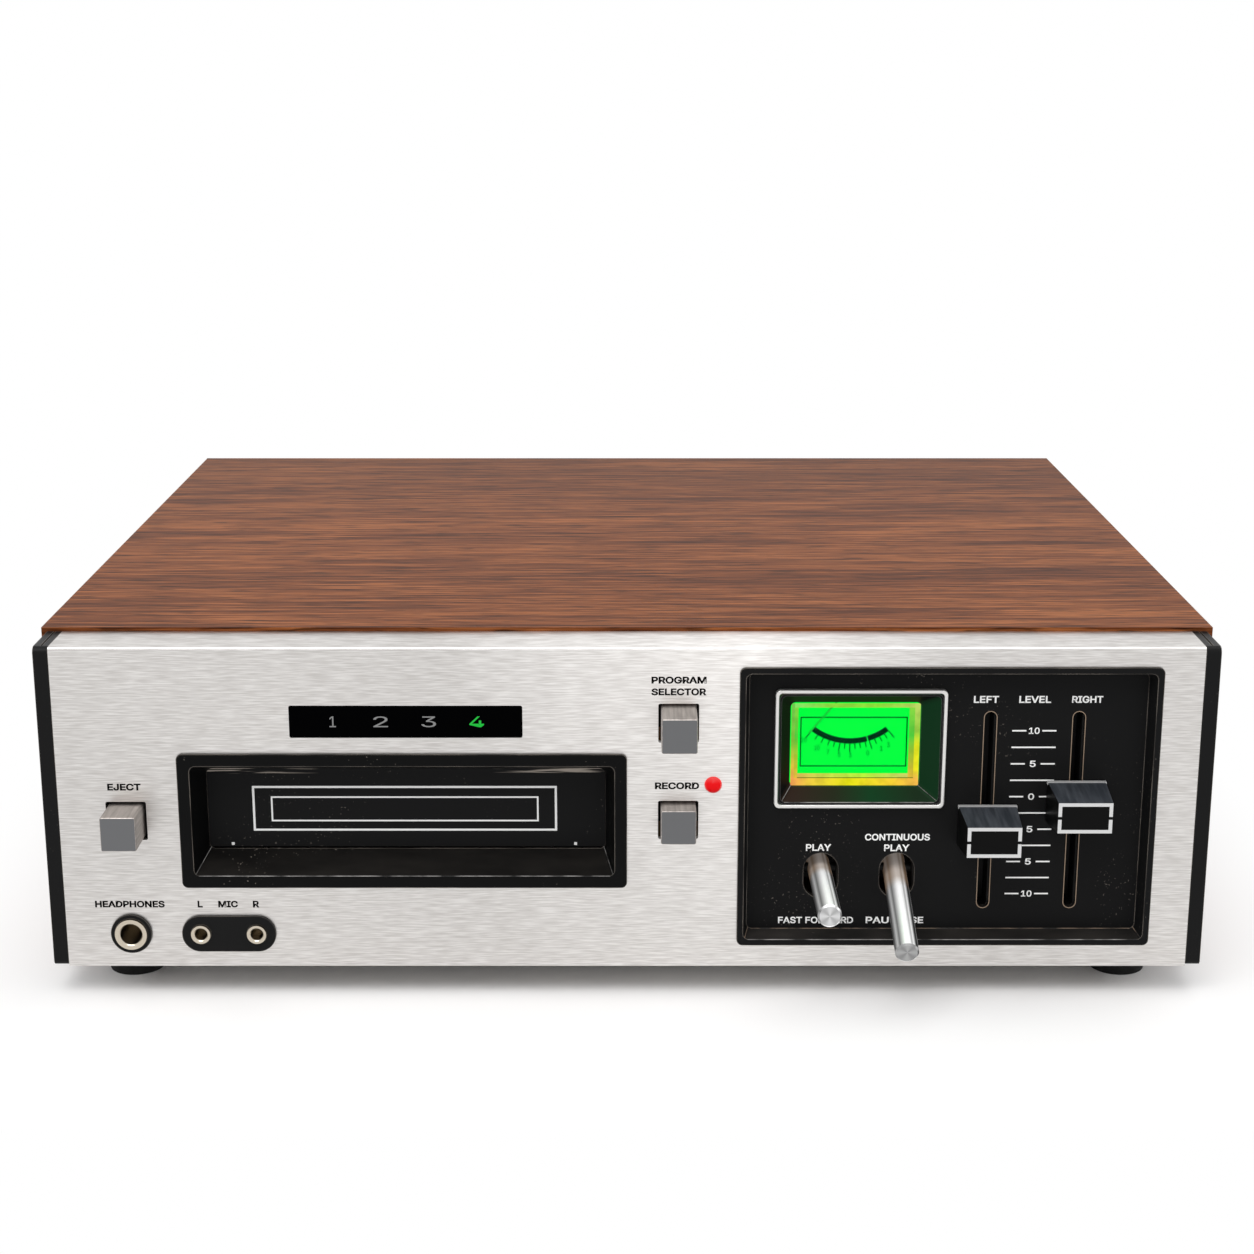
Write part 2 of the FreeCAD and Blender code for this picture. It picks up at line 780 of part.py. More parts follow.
def make_cartridge_guides():
    """A ledge and an upright wall at each side, on the deck plate."""
    sides = []
    for side in (-1, 1):
        wall_x = s.bay_x + side * (guide_half + s.guide_thick / 2)
        wall = middle_block(wall_x, s.guide_start, deck_top + s.guide_high / 2,
                            s.guide_thick, s.guide_end - s.guide_start, s.guide_high)
        ledge_x = s.bay_x + side * (guide_half + s.guide_thick - s.ledge_wide / 2)
        ledge_high = port_low - deck_top
        ledge = middle_block(ledge_x, s.ledge_start, deck_top + ledge_high / 2,
                             s.ledge_wide, s.guide_end - s.ledge_start, ledge_high)
        guide = fuse(wall, ledge)
        if side < 0:
            reach = s.lock_roller_radius + s.cartridge_play * 11
            window = block(wall_x - s.guide_thick, s.lock_roller_depth - reach,
                           s.lock_arm_low - 1, s.guide_thick * 2, reach * 2,
                           lock_top() - s.lock_arm_low + s.lock_roller_radius * 2)
            guide = cut(guide, window)
        sides.append(guide)
    seat("cartridge_guides", *sides)


# Push buttons.

def button_spots():
    return ((eject_x, s.bay_z), (select_x, s.select_z), (select_x, s.record_z))


def make_button(name, x, z, reach, stem_end):
    """A square key with softened edges and a round stem behind it."""
    body = new_body()
    face = front_sketch(body, -reach)
    rounded(face, x, z, s.button_wide, s.button_wide, s.button_round)
    pad(body, face, reach + s.button_back)
    soften(body, "Fillet", s.button_round / 2, at_depth(-reach))
    stem = front_sketch(body, s.button_back)
    circle(stem, x, z, s.stem_radius)
    pad(body, stem, stem_end - s.button_back)
    seat(name, body)


def make_buttons():
    make_button("eject_button", eject_x, s.bay_z, s.eject_reach, s.eject_stem_end)
    make_button("program_button", select_x, s.select_z, s.select_reach, s.switch_stem_end)
    make_button("record_button", select_x, s.record_z, s.record_reach, s.switch_stem_end)


def make_button_switches():
    """A push switch behind each of the two right-hand keys, bored for the key's stem."""
    switches = []
    for x, z in button_spots()[1:]:
        case = middle_block(x, s.switch_depth, z, s.switch_wide, s.switch_long, s.switch_wide)
        bore = bar(x, s.switch_depth, z, s.stem_radius + s.running_gap,
                   s.switch_bore_end - s.switch_depth, "+Y")
        switches.append(cut(case, bore))
    seat("button_switches", *switches)


# Display and lamps.

def make_display():
    """A dark window with a wider foot behind the panel, and its lamp strip."""
    body = new_body()
    foot = s.part_gap * 6
    front = front_sketch(body)
    rounded(front, s.display_x, s.display_z, s.display_wide - s.seam_gap * 2,
            s.display_high - s.seam_gap * 2, s.edge_round / 2)
    pad(body, front, s.sheet_thick)
    behind = front_sketch(body, s.sheet_thick)
    rounded(behind, s.display_x, s.display_z, s.display_wide + foot * 2,
            s.display_high + foot, s.edge_round / 2)
    pad(body, behind, s.sheet_thick)
    seat("display_window", body)
    strip_depth = s.sheet_thick * 2
    bulb_long = s.sheet_thick * 3
    strip = middle_block(s.display_x, strip_depth + bulb_long, s.display_z,
                         s.display_wide, s.cover_thick, s.display_high)
    bulbs = []
    for step in range(4):
        x = s.display_x + s.digit_pitch * (step - 1.5)
        bulbs.append(bar(x, strip_depth, s.display_z, s.sheet_thick, bulb_long, "+Y"))
    seat("program_lamps", fuse(strip, *bulbs))


def make_record_lamp():
    """A domed jewel with a flange behind the panel."""
    jewel = bar(lamp_x, 0, s.lamp_z, s.lamp_radius, s.sheet_thick * 4, "+Y")
    dome = doc.addObject("Part::Sphere", "dome")
    bind(dome, "Radius", s.lamp_radius)
    place(dome, lamp_x, 0, s.lamp_z)
    flange = bar(lamp_x, s.sheet_thick, s.lamp_z, s.lamp_radius * 1.5, s.sheet_thick, "+Y")
    seat("record_lamp", fuse(jewel, dome, flange))


# Jacks.

def mic_spots():
    return (s.mic_x - s.mic_pitch / 2, s.mic_x + s.mic_pitch / 2)


def make_jack(x, bush, bore, long, body, proud):
    """A threaded bush with a flared mouth in front of a moulded case."""
    sleeve = bar(x, -proud, s.jack_z, bush, proud + s.sheet_thick + 1, "+Y")
    case = middle_block(x, s.sheet_thick + s.part_gap, s.jack_z, body, long, body)
    way = bar(x, -proud, s.jack_z, bore, long, "+Y")
    flare = cone(x, -proud, s.jack_z, bore + s.part_gap, bore, s.part_gap, "+Y")
    return cut(fuse(sleeve, case), way, flare)


def make_jacks():
    proud = s.rim_proud * 2
    seat("headphone_jack", make_jack(s.phones_x, s.phones_radius, s.phones_bore,
                                     s.phones_long, s.phones_body, proud))
    seat("mic_jacks", *[make_jack(x, s.mic_radius, s.mic_bore, s.mic_long,
                                        s.mic_body, proud) for x in mic_spots()])


def make_jack_trims():
    """A round washer for the headphone jack and a long plate for the two others."""
    washer = cut(bar(s.phones_x, -s.rim_proud, s.jack_z, s.phones_ring, s.rim_proud, "+Y"),
                 bar(s.phones_x, -s.rim_proud, s.jack_z, s.phones_radius + s.seam_gap / 2,
                     s.rim_proud, "+Y"))
    body = new_body()
    face = front_sketch(body, -s.rim_proud)
    rounded(face, s.mic_x, s.jack_z, s.mic_plate_wide, s.mic_plate_high,
            s.mic_plate_high / 2 - s.seam_gap)
    for x in mic_spots():
        circle(face, x, s.jack_z, s.mic_radius + s.seam_gap / 2)
    pad(body, face, s.rim_proud)
    seat("jack_trims", washer, body)


# Control tray, levers and level controls.

def lever_spots():
    return (s.play_x, s.pause_x)


def level_spots():
    return (s.level_mid - s.level_pitch / 2, s.level_mid + s.level_pitch / 2)


def make_control_tray():
    """A shallow moulded tray whose floor carries the meter, the levers and the slots."""
    body = new_body()
    outer = front_sketch(body, -s.rim_proud)
    rounded(outer, s.tray_x, s.tray_z, s.tray_wide, s.tray_high, s.tray_corner)
    pad(body, outer, s.rim_proud)
    lap = (s.tray_lap + s.seam_gap) * 2
    shell = front_sketch(body)
    rounded(shell, s.tray_x, s.tray_z, s.tray_wide - lap, s.tray_high - lap, s.tray_corner)
    pad(body, shell, tray_back)
    opening = front_sketch(body, -s.rim_proud)
    rounded(opening, s.tray_x, s.tray_z, s.tray_wide - s.tray_rim * 2,
            s.tray_high - s.tray_rim * 2, s.tray_corner)
    floor = front_sketch(body, s.tray_deep)
    rounded(floor, s.tray_x, s.tray_z, s.tray_wide - (s.tray_rim + s.tray_draft) * 2,
            s.tray_high - (s.tray_rim + s.tray_draft) * 2, s.tray_corner)
    loft(body, opening, floor, hollow=True)
    doc.recompute()
    holes = front_sketch(body, s.tray_deep)
    for x in lever_spots():
        slot(holes, x, s.lever_z, s.lever_slot_wide, s.lever_slot_high)
    for x in level_spots():
        slot(holes, x, s.level_z, s.slot_wide, s.slot_high)
    rounded(holes, s.meter_x, s.meter_z, s.meter_wide - s.frame_line * 2,
            s.meter_high - s.frame_line * 2, s.meter_corner)
    pocket(body, holes, s.tray_floor)
    seat("control_tray", body)


def make_lever(name, x, tipped):
    """A steel rod on a cross pin. A tipped lever is drawn level and turned on its pin."""
    reach = s.front_reach + s.lever_pivot
    rod = bar(0, -reach + s.lever_chamfer, 0, s.lever_radius, reach + s.lever_tail, "+Y")
    tip = cone(0, -reach, 0, s.lever_radius - s.lever_chamfer, s.lever_radius,
               s.lever_chamfer, "+Y")
    bore = bar(-s.lever_radius - 1, 0, 0, s.lever_pin + s.running_gap,
               s.lever_radius * 2 + 2, "+X")
    lever = cut(fuse(rod, tip), bore)
    place(lever, x, s.lever_pivot, s.lever_z)
    if tipped:
        lever.Placement = FreeCAD.Placement(
            lever.Placement.Base, FreeCAD.Rotation(FreeCAD.Vector(1, 0, 0), tipped.value))
        bind(lever, "Placement.Rotation.Angle", tipped)
    seat(name, lever)


def make_levers():
    make_lever("play_lever", s.play_x, None)
    make_lever("pause_lever", s.pause_x, s.lever_swing)
    brackets = []
    span = (s.lever_cheek + s.lever_ear) * 2
    for x in lever_spots():
        yoke = middle_block(x, tray_back, s.lever_z, span, s.bracket_back - tray_back,
                            s.lever_radius * 3)
        room = middle_block(x, tray_back, s.lever_z, s.lever_cheek * 2,
                            s.bracket_back - tray_back - s.lever_ear, s.lever_radius * 5)
        bore = bar(x - span, s.lever_pivot, s.lever_z, s.lever_pin + s.seam_gap / 2,
                   span * 2, "+X")
        pin = bar(x - span / 2, s.lever_pivot, s.lever_z, s.lever_pin, span, "+X")
        brackets += [cut(yoke, room, bore), pin]
    seat("lever_pivots", *brackets)


def make_level_knob(name, x, level):
    """A tapered cap in front of the tray and a flat steel tang behind it."""
    body = new_body()
    z = s.level_z + level
    back = s.tray_deep - s.knob_gap
    front = front_sketch(body, -s.knob_front)
    rounded(front, x, z, s.knob_wide, s.knob_high, s.seam_gap)
    rear = front_sketch(body, back)
    rounded(rear, x, z, s.knob_back_wide, s.knob_back_high, s.seam_gap)
    loft(body, front, rear)
    doc.recompute()
    tang = front_sketch(body, back)
    rounded(tang, x, z, s.tang_thick, s.tang_high, s.seam_gap)
    pad(body, tang, s.tang_end - back)
    seat(name, body)


def make_level_controls():
    left, right = level_spots()
    make_level_knob("level_knob_left", left, s.left_level)
    make_level_knob("level_knob_right", right, s.right_level)
    faders = []
    for x in (left, right):
        case = middle_block(x, tray_back, s.level_z, s.fader_wide, s.fader_back - tray_back,
                            s.fader_high)
        way = middle_block(x, tray_back, s.level_z, s.tang_thick + s.part_gap * 4,
                           s.tang_end - tray_back + 1, s.slot_high + s.part_gap)
        faders.append(cut(case, way))
    seat("level_controls", *faders)


# Meter.

def make_meter_frame():
    body = new_body()
    front = front_sketch(body, s.tray_deep - s.frame_proud)
    rounded(front, s.meter_x, s.meter_z, s.meter_wide, s.meter_high, s.meter_corner)
    pad(body, front, s.frame_proud)
    way = front_sketch(body, s.tray_deep - s.frame_proud)
    rounded(way, s.meter_x, s.meter_z, s.meter_wide - s.frame_line * 2,
            s.meter_high - s.frame_line * 2, s.meter_corner - s.frame_line / 2)
    pocket(body, way, s.frame_proud)
    soften(body, "Fillet", s.frame_line / 3, at_depth(s.tray_deep - s.frame_proud))
    seat("meter_frame", body)


def make_meter_housing():
    """A funnel that shows through the tray, with a wider hollow case behind it."""
    body = new_body()
    snout_wide = s.meter_wide - (s.frame_line + s.seam_gap) * 2
    snout_high = s.meter_high - (s.frame_line + s.seam_gap) * 2
    snout_depth = s.tray_deep - s.frame_proud + s.part_gap
    snout = front_sketch(body, snout_depth)
    rounded(snout, s.meter_x, s.meter_z, snout_wide, snout_high, s.meter_corner)
    pad(body, snout, tray_back - snout_depth)
    case = front_sketch(body, tray_back)
    rounded(case, s.meter_x, s.meter_z, case_wide, case_high, s.meter_corner)
    pad(body, case, s.case_back - tray_back)
    mouth = front_sketch(body, snout_depth)
    rounded(mouth, s.meter_x, s.meter_z, snout_wide - s.frame_line, snout_high - s.frame_line,
            s.meter_corner)
    throat = front_sketch(body, s.lens_depth)
    rounded(throat, s.lens_x, s.meter_z, s.lens_wide + s.seam_gap * 2,
            s.lens_high + s.seam_gap * 2, s.meter_corner)
    loft(body, mouth, throat, hollow=True)
    doc.recompute()
    window = front_sketch(body, s.lens_depth)
    rounded(window, s.lens_x, s.meter_z, s.lens_wide + s.seam_gap * 2,
            s.lens_high + s.seam_gap * 2, s.meter_corner)
    pocket(body, window, s.lens_thick)
    cavity = front_sketch(body, s.lens_depth + s.lens_thick)
    rounded(cavity, s.meter_x, s.meter_z, case_wide - s.case_wall * 2,
            case_high - s.case_wall * 2, s.meter_corner)
    pocket(body, cavity, s.case_back - s.lens_depth - s.lens_thick)
    seat("meter_housing", body)


def make_meter_lens():
    """A clear cover with a bevelled front edge and a foot behind the window."""
    body = new_body()
    front = front_sketch(body, s.lens_depth)
    rounded(front, s.lens_x, s.meter_z, s.lens_wide, s.lens_high, s.meter_corner)
    pad(body, front, s.lens_thick)
    soften(body, "Chamfer", s.lens_bevel, at_depth(s.lens_depth))
    foot = front_sketch(body, s.lens_depth + s.lens_thick)
    rounded(foot, s.lens_x, s.meter_z, s.lens_wide + s.case_wall * 2,
            s.lens_high + s.case_wall * 2, s.meter_corner)
    pad(body, foot, s.cover_thick)
    seat("meter_lens", body)


def pointer_z():
    return s.meter_z + s.pointer_high


def make_meter_dial():
    gap = s.seam_gap * 4
    dial = middle_block(s.meter_x, s.dial_depth, s.meter_z, case_wide - s.case_wall * 2 - gap,
                        s.dial_thick, case_high - s.case_wall * 2 - gap)
    hole = bar(s.pointer_x, s.dial_depth - 1, pointer_z(), s.staff_radius * 2, 3, "+Y")
    seat("meter_dial", cut(dial, hole))


def make_meter_movement():
    """A drum with the staff's bearing, on the plate that closes the case."""
    gap = s.seam_gap * 4
    plate_depth = s.case_back - s.case_wall
    plate = middle_block(s.meter_x, plate_depth, s.meter_z,
                         case_wide - s.case_wall * 2 - gap, s.case_wall,
                         case_high - s.case_wall * 2 - gap)
    drum_depth = s.dial_depth + s.dial_thick
    drum_radius = case_high / 4
    drum = bar(s.meter_x, drum_depth, s.meter_z, drum_radius, plate_depth - drum_depth, "+Y")
    boss = middle_block(s.pointer_x, drum_depth, (pointer_z() + s.meter_z) / 2,
                        s.staff_radius * 6, plate_depth - drum_depth, s.pointer_high + 2)
    bore = bar(s.pointer_x, drum_depth, pointer_z(), s.staff_radius + s.running_gap,
               plate_depth - drum_depth, "+Y")
    seat("meter_movement", cut(fuse(plate, drum, boss), bore))


def make_meter_needle():
    """A thin pointer that hangs from its staff and rests to the left."""
    hub = bar(0, 0, 0, s.staff_radius * 2.5, s.pointer_thick * 2, "+Y")
    staff = bar(0, 0, 0, s.staff_radius,
                s.case_back - s.case_wall - s.pointer_depth - s.part_gap, "+Y")
    blade = block(-s.pointer_wide / 2, 0, -s.pointer_long, s.pointer_wide, s.pointer_thick,
                  s.pointer_long)
    pointer = fuse(hub, staff, blade)
    place(pointer, s.pointer_x, s.pointer_depth, pointer_z(),
          FreeCAD.Rotation(FreeCAD.Vector(0, 1, 0), s.pointer_rest.value))
    bind(pointer, "Placement.Rotation.Angle", s.pointer_rest)
    seat("meter_needle", pointer)


# Covers, feet and back.

def foot_spots():
    return [(side * (half_wide - s.foot_inset), depth) for side in (-1, 1)
            for depth in (s.foot_front, back_depth - s.foot_back)]


def make_feet():
    """Turned rubber feet with a rounded lower edge and a recess for the screw head."""
    feet = []
    high = s.foot_high + cover_low
    for x, depth in foot_spots():
        upper = bar(x, depth, cover_low - high / 2, s.foot_radius, high / 2)
        lower = cone(x, depth, -s.foot_high, s.foot_tip, s.foot_radius, high / 2)
        recess = bar(x, depth, -s.foot_high, s.foot_tip / 2, s.foot_high / 3)
        hole = bar(x, depth, -s.foot_high, s.stem_radius + s.seam_gap, high * 2)
        feet.append(cut(fuse(upper, lower), recess, hole))
    seat("rubber_feet", *feet)


def back_screw_spots():
    reach = half_wide - s.board_thick * 1.8
    low, top = s.board_thick, lid_low - s.board_thick
    return [(side * reach, z) for side in (-1, 1) for z in (low, top)]


def make_case_screws():
    """Screws through the feet, and screws with domed heads through the back."""
    screws = []
    head = s.stem_radius * 2
    for x, depth in foot_spots():
        head_low = -s.foot_high * 2 / 3 - s.sheet_thick / 2
        screws.append(fuse(bar(x, depth, head_low, head, s.sheet_thick / 2),
                           bar(x, depth, head_low, s.stem_radius,
                               cover_top - head_low)))
    for x, z in back_screw_spots():
        screws.append(fuse(bar(x, back_depth, z, head, s.sheet_thick * 0.6, "+Y"),
                           bar(x, back_depth, z, s.stem_radius, s.sheet_thick * 3, "-Y")))
    seat("case_screws", *screws)


def make_bottom_cover():
    """A steel sheet with a row of vents under the power supply and holes for the screws."""
    body = new_body()
    clear = s.part_gap
    half = half_wide - s.board_thick - clear
    front = s.sheet_thick + s.part_gap
    plan = sketch_on(body, "XY_Plane", cover_low)
    middle = (back_depth + front) / 2
    rounded(plan, 0, middle, half * 2, back_depth - front, s.sheet_thick)
    for x, depth in foot_spots():
        circle(plan, x, depth, s.stem_radius + s.seam_gap)
    for x, depth in pillar_spots():
        circle(plan, x, depth, s.stem_radius + s.seam_gap)
    pad(body, plan, s.cover_thick, backward=False)
    doc.recompute()
    vents = sketch_on(body, "XY_Plane", cover_low)
    slot(vents, s.vent_pitch * 8, core_depth - s.vent_long / 2, s.vent_wide, s.vent_long)
    first = pocket(body, vents, s.cover_thick, backward=False)
    row = body.newObject("PartDesign::LinearPattern", "vents")
    row.Originals = [first]
    row.Direction = (vents, ["H_Axis"])
    row.Reversed = True
    bind(row, "Length", s.vent_pitch * 7)
    row.Occurrences = 8
    body.Tip = row
    seat("bottom_cover", body)


def line_spots():
    return [(s.line_x + column * s.line_pitch, s.line_z + rank * s.line_pitch)
            for column in (0, 1) for rank in (0, 1)]


def make_back_panel():
    """A steel sheet with holes for the line jacks, the gland, the screws and air."""
    body = new_body()
    face = front_sketch(body, back_depth - s.back_thick)
    half = half_wide - s.board_thick - s.part_gap
    high = lid_low - s.part_gap - cover_top
    rounded(face, 0, cover_top + high / 2, half * 2, high, s.sheet_thick)
    for x, z in line_spots():
        circle(face, x, z, s.line_collar + s.seam_gap)
    circle(face, s.gland_x, s.gland_z, s.gland_radius + s.seam_gap)
    for x, z in back_screw_spots():
        circle(face, x, z, s.stem_radius + s.seam_gap)
    pad(body, face, s.back_thick)
    doc.recompute()
    vents = front_sketch(body, back_depth - s.back_thick)
    slot(vents, s.core_x + s.vent_pitch * 2.5, lid_low - s.vent_long * 0.7, s.vent_wide,
         s.vent_long * 0.6)
    first = pocket(body, vents, s.back_thick)
    row = body.newObject("PartDesign::LinearPattern", "vents")
    row.Originals = [first]
    row.Direction = (vents, ["H_Axis"])
    row.Reversed = True
    bind(row, "Length", s.vent_pitch * 9)
    row.Occurrences = 10
    body.Tip = row
    seat("back_panel", body)


def make_line_jacks():
    """Four coaxial jacks on a strip behind the back panel."""
    strip_depth = back_depth - s.back_thick - s.sheet_thick
    strip = middle_block(s.line_x + s.line_pitch / 2, strip_depth, s.line_z + s.line_pitch / 2,
                         s.line_pitch * 2, s.sheet_thick, s.line_pitch * 2)
    shells = []
    bores = []
    for x, z in line_spots():
        shells.append(bar(x, back_depth - s.back_thick, z, s.line_collar, s.back_thick, "+Y"))
        shells.append(bar(x, back_depth, z, s.line_radius, s.line_long, "+Y"))
        bores.append(bar(x, back_depth, z, s.line_bore, s.line_long, "+Y"))
    seat("line_jacks", cut(fuse(strip, *shells), *bores))


def make_cord_gland():
    """A flanged bush for a mains cord."""
    flange = s.gland_radius + s.sheet_thick
    outer = fuse(
        bar(s.gland_x, back_depth, s.gland_z, flange, s.sheet_thick, "+Y"),
        bar(s.gland_x, back_depth - s.back_thick - s.sheet_thick * 2, s.gland_z,
            s.gland_radius, s.back_thick + s.sheet_thick * 5, "+Y"))
    bore = bar(s.gland_x, back_depth - s.back_thick * 9, s.gland_z, s.gland_bore,
               s.back_thick * 20, "+Y")
    seat("cord_gland", cut(outer, bore))


# Tape mechanism.

def thrust_spots():
    return [(capstan_x, s.capstan_depth + side * thrust_reach) for side in (-1, 1)]


def pillar_spots():
    inset = s.pillar_radius + s.sheet_thick
    return [(x, depth) for x in (s.deck_left + inset, deck_right - inset)
            for depth in (s.deck_front + s.pillar_radius * 7, s.deck_back - inset)]


def post_spots():
    return [(s.bay_x + side * s.post_pitch / 2, carriage_depth + s.carriage_deep / 2)
            for side in (-1, 1)]


def make_deck_plate():
    """The steel plate that carries the tape mechanism."""
    body = new_body()
    plan = sketch_on(body, "XY_Plane", s.deck_low)
    wide = deck_right - s.deck_left
    deep = s.deck_back - s.deck_front
    rounded(plan, s.deck_left + wide / 2, s.deck_front + deep / 2, wide, deep,
            s.pillar_radius / 2)
    circle(plan, capstan_x, s.capstan_depth, s.bearing_radius + s.seam_gap)
    circle(plan, s.motor_x, s.motor_depth, s.pulley_radius + s.sheet_thick)
    for x, depth in post_spots():
        circle(plan, x, depth, s.post_radius + s.seam_gap / 2)
    pad(body, plan, s.deck_thick, backward=False)
    seat("deck_plate", body)


def make_mechanism_posts():
    """Turned posts: four under the deck plate, two for the carriage, one for the lock arm."""
    posts = []
    for x, depth in pillar_spots():
        posts.append(bar(x, depth, cover_top, s.pillar_radius, s.deck_low - cover_top))
    for x, depth in post_spots():
        posts.append(bar(x, depth, s.deck_low, s.post_radius,
                         s.carriage_low + s.carriage_high * 2 - s.deck_low))
    base = bar(lock_x, s.lock_depth, deck_top, s.pillar_radius,
               s.lock_arm_low - s.part_gap - deck_top)
    neck = bar(lock_x, s.lock_depth, deck_top, s.pillar_radius / 2,
               lock_top() + s.pillar_radius - deck_top)
    posts.append(fuse(base, neck))
    seat("mechanism_posts", *posts)


def make_mechanism_brackets():
    """The cam's bracket with its axle, and the guide of the eject stem."""
    cam_back = s.cam_depth + s.cam_thick * 2 + s.sheet_thick
    plate = middle_block(s.bay_x, cam_back, (deck_top + cam_z + s.pillar_radius) / 2,
                         s.pillar_radius * 3, s.deck_thick, cam_z + s.pillar_radius - deck_top)
    foot = middle_block(s.bay_x, cam_back, deck_top + s.deck_thick / 2, s.pillar_radius * 3,
                        s.pillar_radius * 2, s.deck_thick)
    axle = bar(s.bay_x, s.cam_depth - s.sheet_thick / 2, cam_z, s.post_radius,
               cam_back - s.cam_depth + s.sheet_thick, "+Y")
    guide_depth = s.deck_front + s.pillar_radius * 10
    upright = middle_block(eject_x, guide_depth, (deck_top + s.bay_z + s.pillar_radius) / 2,
                           s.pillar_radius * 3, s.deck_thick,
                           s.bay_z + s.pillar_radius - deck_top)
    ledge = middle_block(eject_x, guide_depth, deck_top + s.deck_thick / 2,
                         s.pillar_radius * 3, s.pillar_radius * 3, s.deck_thick)
    way = bar(eject_x, guide_depth - 1, s.bay_z, s.stem_radius + s.running_gap,
              s.pillar_radius, "+Y")
    seat("mechanism_brackets", fuse(plate, foot, axle), cut(fuse(upright, ledge), way))


def make_capstan():
    """The flywheel on its shaft, the sleeve that the shaft runs in, and its thrust plate."""
    rim_room = s.flywheel_thick / 3
    disc = bar(capstan_x, s.capstan_depth, s.flywheel_low, s.flywheel_radius,
               s.flywheel_thick)
    hub_high = s.deck_low - s.sheet_thick * 2 - s.flywheel_low
    hub = bar(capstan_x, s.capstan_depth, s.flywheel_low, s.capstan_radius * 3, hub_high - 1)
    web = bar(capstan_x, s.capstan_depth, s.flywheel_low + s.flywheel_thick - rim_room,
              s.flywheel_radius - rim_room, rim_room)
    hollow = cut(web, bar(capstan_x, s.capstan_depth, s.flywheel_low,
                          s.capstan_radius * 3, s.flywheel_thick))
    bore = bar(capstan_x, s.capstan_depth, s.flywheel_low - 1, s.capstan_radius,
               s.flywheel_thick * 2)
    seat("flywheel", cut(fuse(cut(disc, hollow), hub), bore))
    shaft_low = s.thrust_low + s.deck_thick + s.running_gap
    seat("capstan_shaft", bar(capstan_x, s.capstan_depth, shaft_low, s.capstan_radius,
                              s.capstan_top - shaft_low))
    sleeve_low = s.deck_low - s.sheet_thick * 2
    sleeve = bar(capstan_x, s.capstan_depth, sleeve_low, s.bearing_radius,
                 port_low - s.part_gap - sleeve_low)
    flange = bar(capstan_x, s.capstan_depth, deck_top, s.bearing_radius * 1.5,
                 s.sheet_thick)
    way = bar(capstan_x, s.capstan_depth, s.flywheel_low, s.capstan_radius + s.running_gap,
              s.deck_low)
    seat("capstan_bearing", cut(fuse(sleeve, flange), way))
    plate = middle_block(capstan_x, s.capstan_depth - thrust_reach - s.pillar_radius,
                         s.thrust_low + s.deck_thick / 2, s.pillar_radius * 3,
                         (thrust_reach + s.pillar_radius) * 2, s.deck_thick)
    legs = [bar(x, depth, s.thrust_low, s.pillar_radius * 0.75, s.deck_low - s.thrust_low)
            for x, depth in thrust_spots()]
    seat("thrust_bracket", fuse(plate, *legs))


def belt_loop(radius_one, radius_two):
    """The closed line of two wheels' arcs and the two straight runs between them."""
    one = FreeCAD.Vector(capstan_x.value, s.capstan_depth.value, 0)
    two = FreeCAD.Vector(s.motor_x.value, s.motor_depth.value, 0)
    across = two - one
    heading = math.atan2(across.y, across.x)
    lean = math.acos((radius_one - radius_two) / across.Length)

    def spot(middle, radius, angle):
        turn = FreeCAD.Vector(math.cos(angle), math.sin(angle), 0)
        return middle + turn * radius

    first = [spot(one, radius_one, heading + lean), spot(two, radius_two, heading + lean)]
    last = [spot(two, radius_two, heading - lean), spot(one, radius_one, heading - lean)]
    edges = [
        Part.LineSegment(*first).toShape(),
        Part.Arc(first[1], spot(two, radius_two, heading), last[0]).toShape(),
        Part.LineSegment(*last).toShape(),
        Part.Arc(last[1], spot(one, radius_one, heading + math.pi), first[0]).toShape(),
    ]
    return Part.Wire(edges)


def make_drive_belt():
    """A flat belt round the flywheel and the motor pulley."""
    gap = s.part_gap.value
    thick = s.belt_thick.value
    radii = (s.flywheel_radius.value + gap, s.pulley_radius.value + gap)
    outer = Part.Face(belt_loop(radii[0] + thick, radii[1] + thick))
    inner = Part.Face(belt_loop(*radii))
    ring = outer.cut(inner).extrude(FreeCAD.Vector(0, 0, s.belt_high.value))
    ring.translate(FreeCAD.Vector(0, 0, belt_mid.value - s.belt_high.value / 2))
    belt = doc.addObject("Part::Feature", "belt")
    belt.Shape = ring.Solids[0]
    seat("drive_belt", belt)


def make_motor():
    """A can with a flange on the deck plate, and a pulley on its shaft below."""
    can = bar(s.motor_x, s.motor_depth, deck_top, s.motor_radius, s.motor_high)
    collar = bar(s.motor_x, s.motor_depth, deck_top + s.motor_high, s.motor_radius / 2,
                 s.sheet_thick)
    base = bar(s.motor_x, s.motor_depth, deck_top, s.motor_radius + s.sheet_thick,
               s.deck_thick)
    socket = bar(s.motor_x, s.motor_depth, deck_top, s.shaft_radius + s.running_gap,
                 s.motor_high / 2)
    seat("motor", cut(fuse(can, collar, base), socket))
    wheel = bar(s.motor_x, s.motor_depth, belt_mid - s.belt_high * 0.7, s.pulley_radius,
                s.belt_high * 1.4)
    lips = [bar(s.motor_x, s.motor_depth, belt_mid + side * s.belt_high * 0.8 - s.deck_thick / 2,
                s.pulley_radius + s.belt_thick + s.part_gap * 2, s.deck_thick)
            for side in (-1, 1)]
    shaft = bar(s.motor_x, s.motor_depth, belt_mid - s.belt_high / 2, s.shaft_radius,
                deck_top + s.motor_high / 2 - s.part_gap - belt_mid + s.belt_high / 2)
    seat("motor_pulley", fuse(wheel, shaft, *lips))


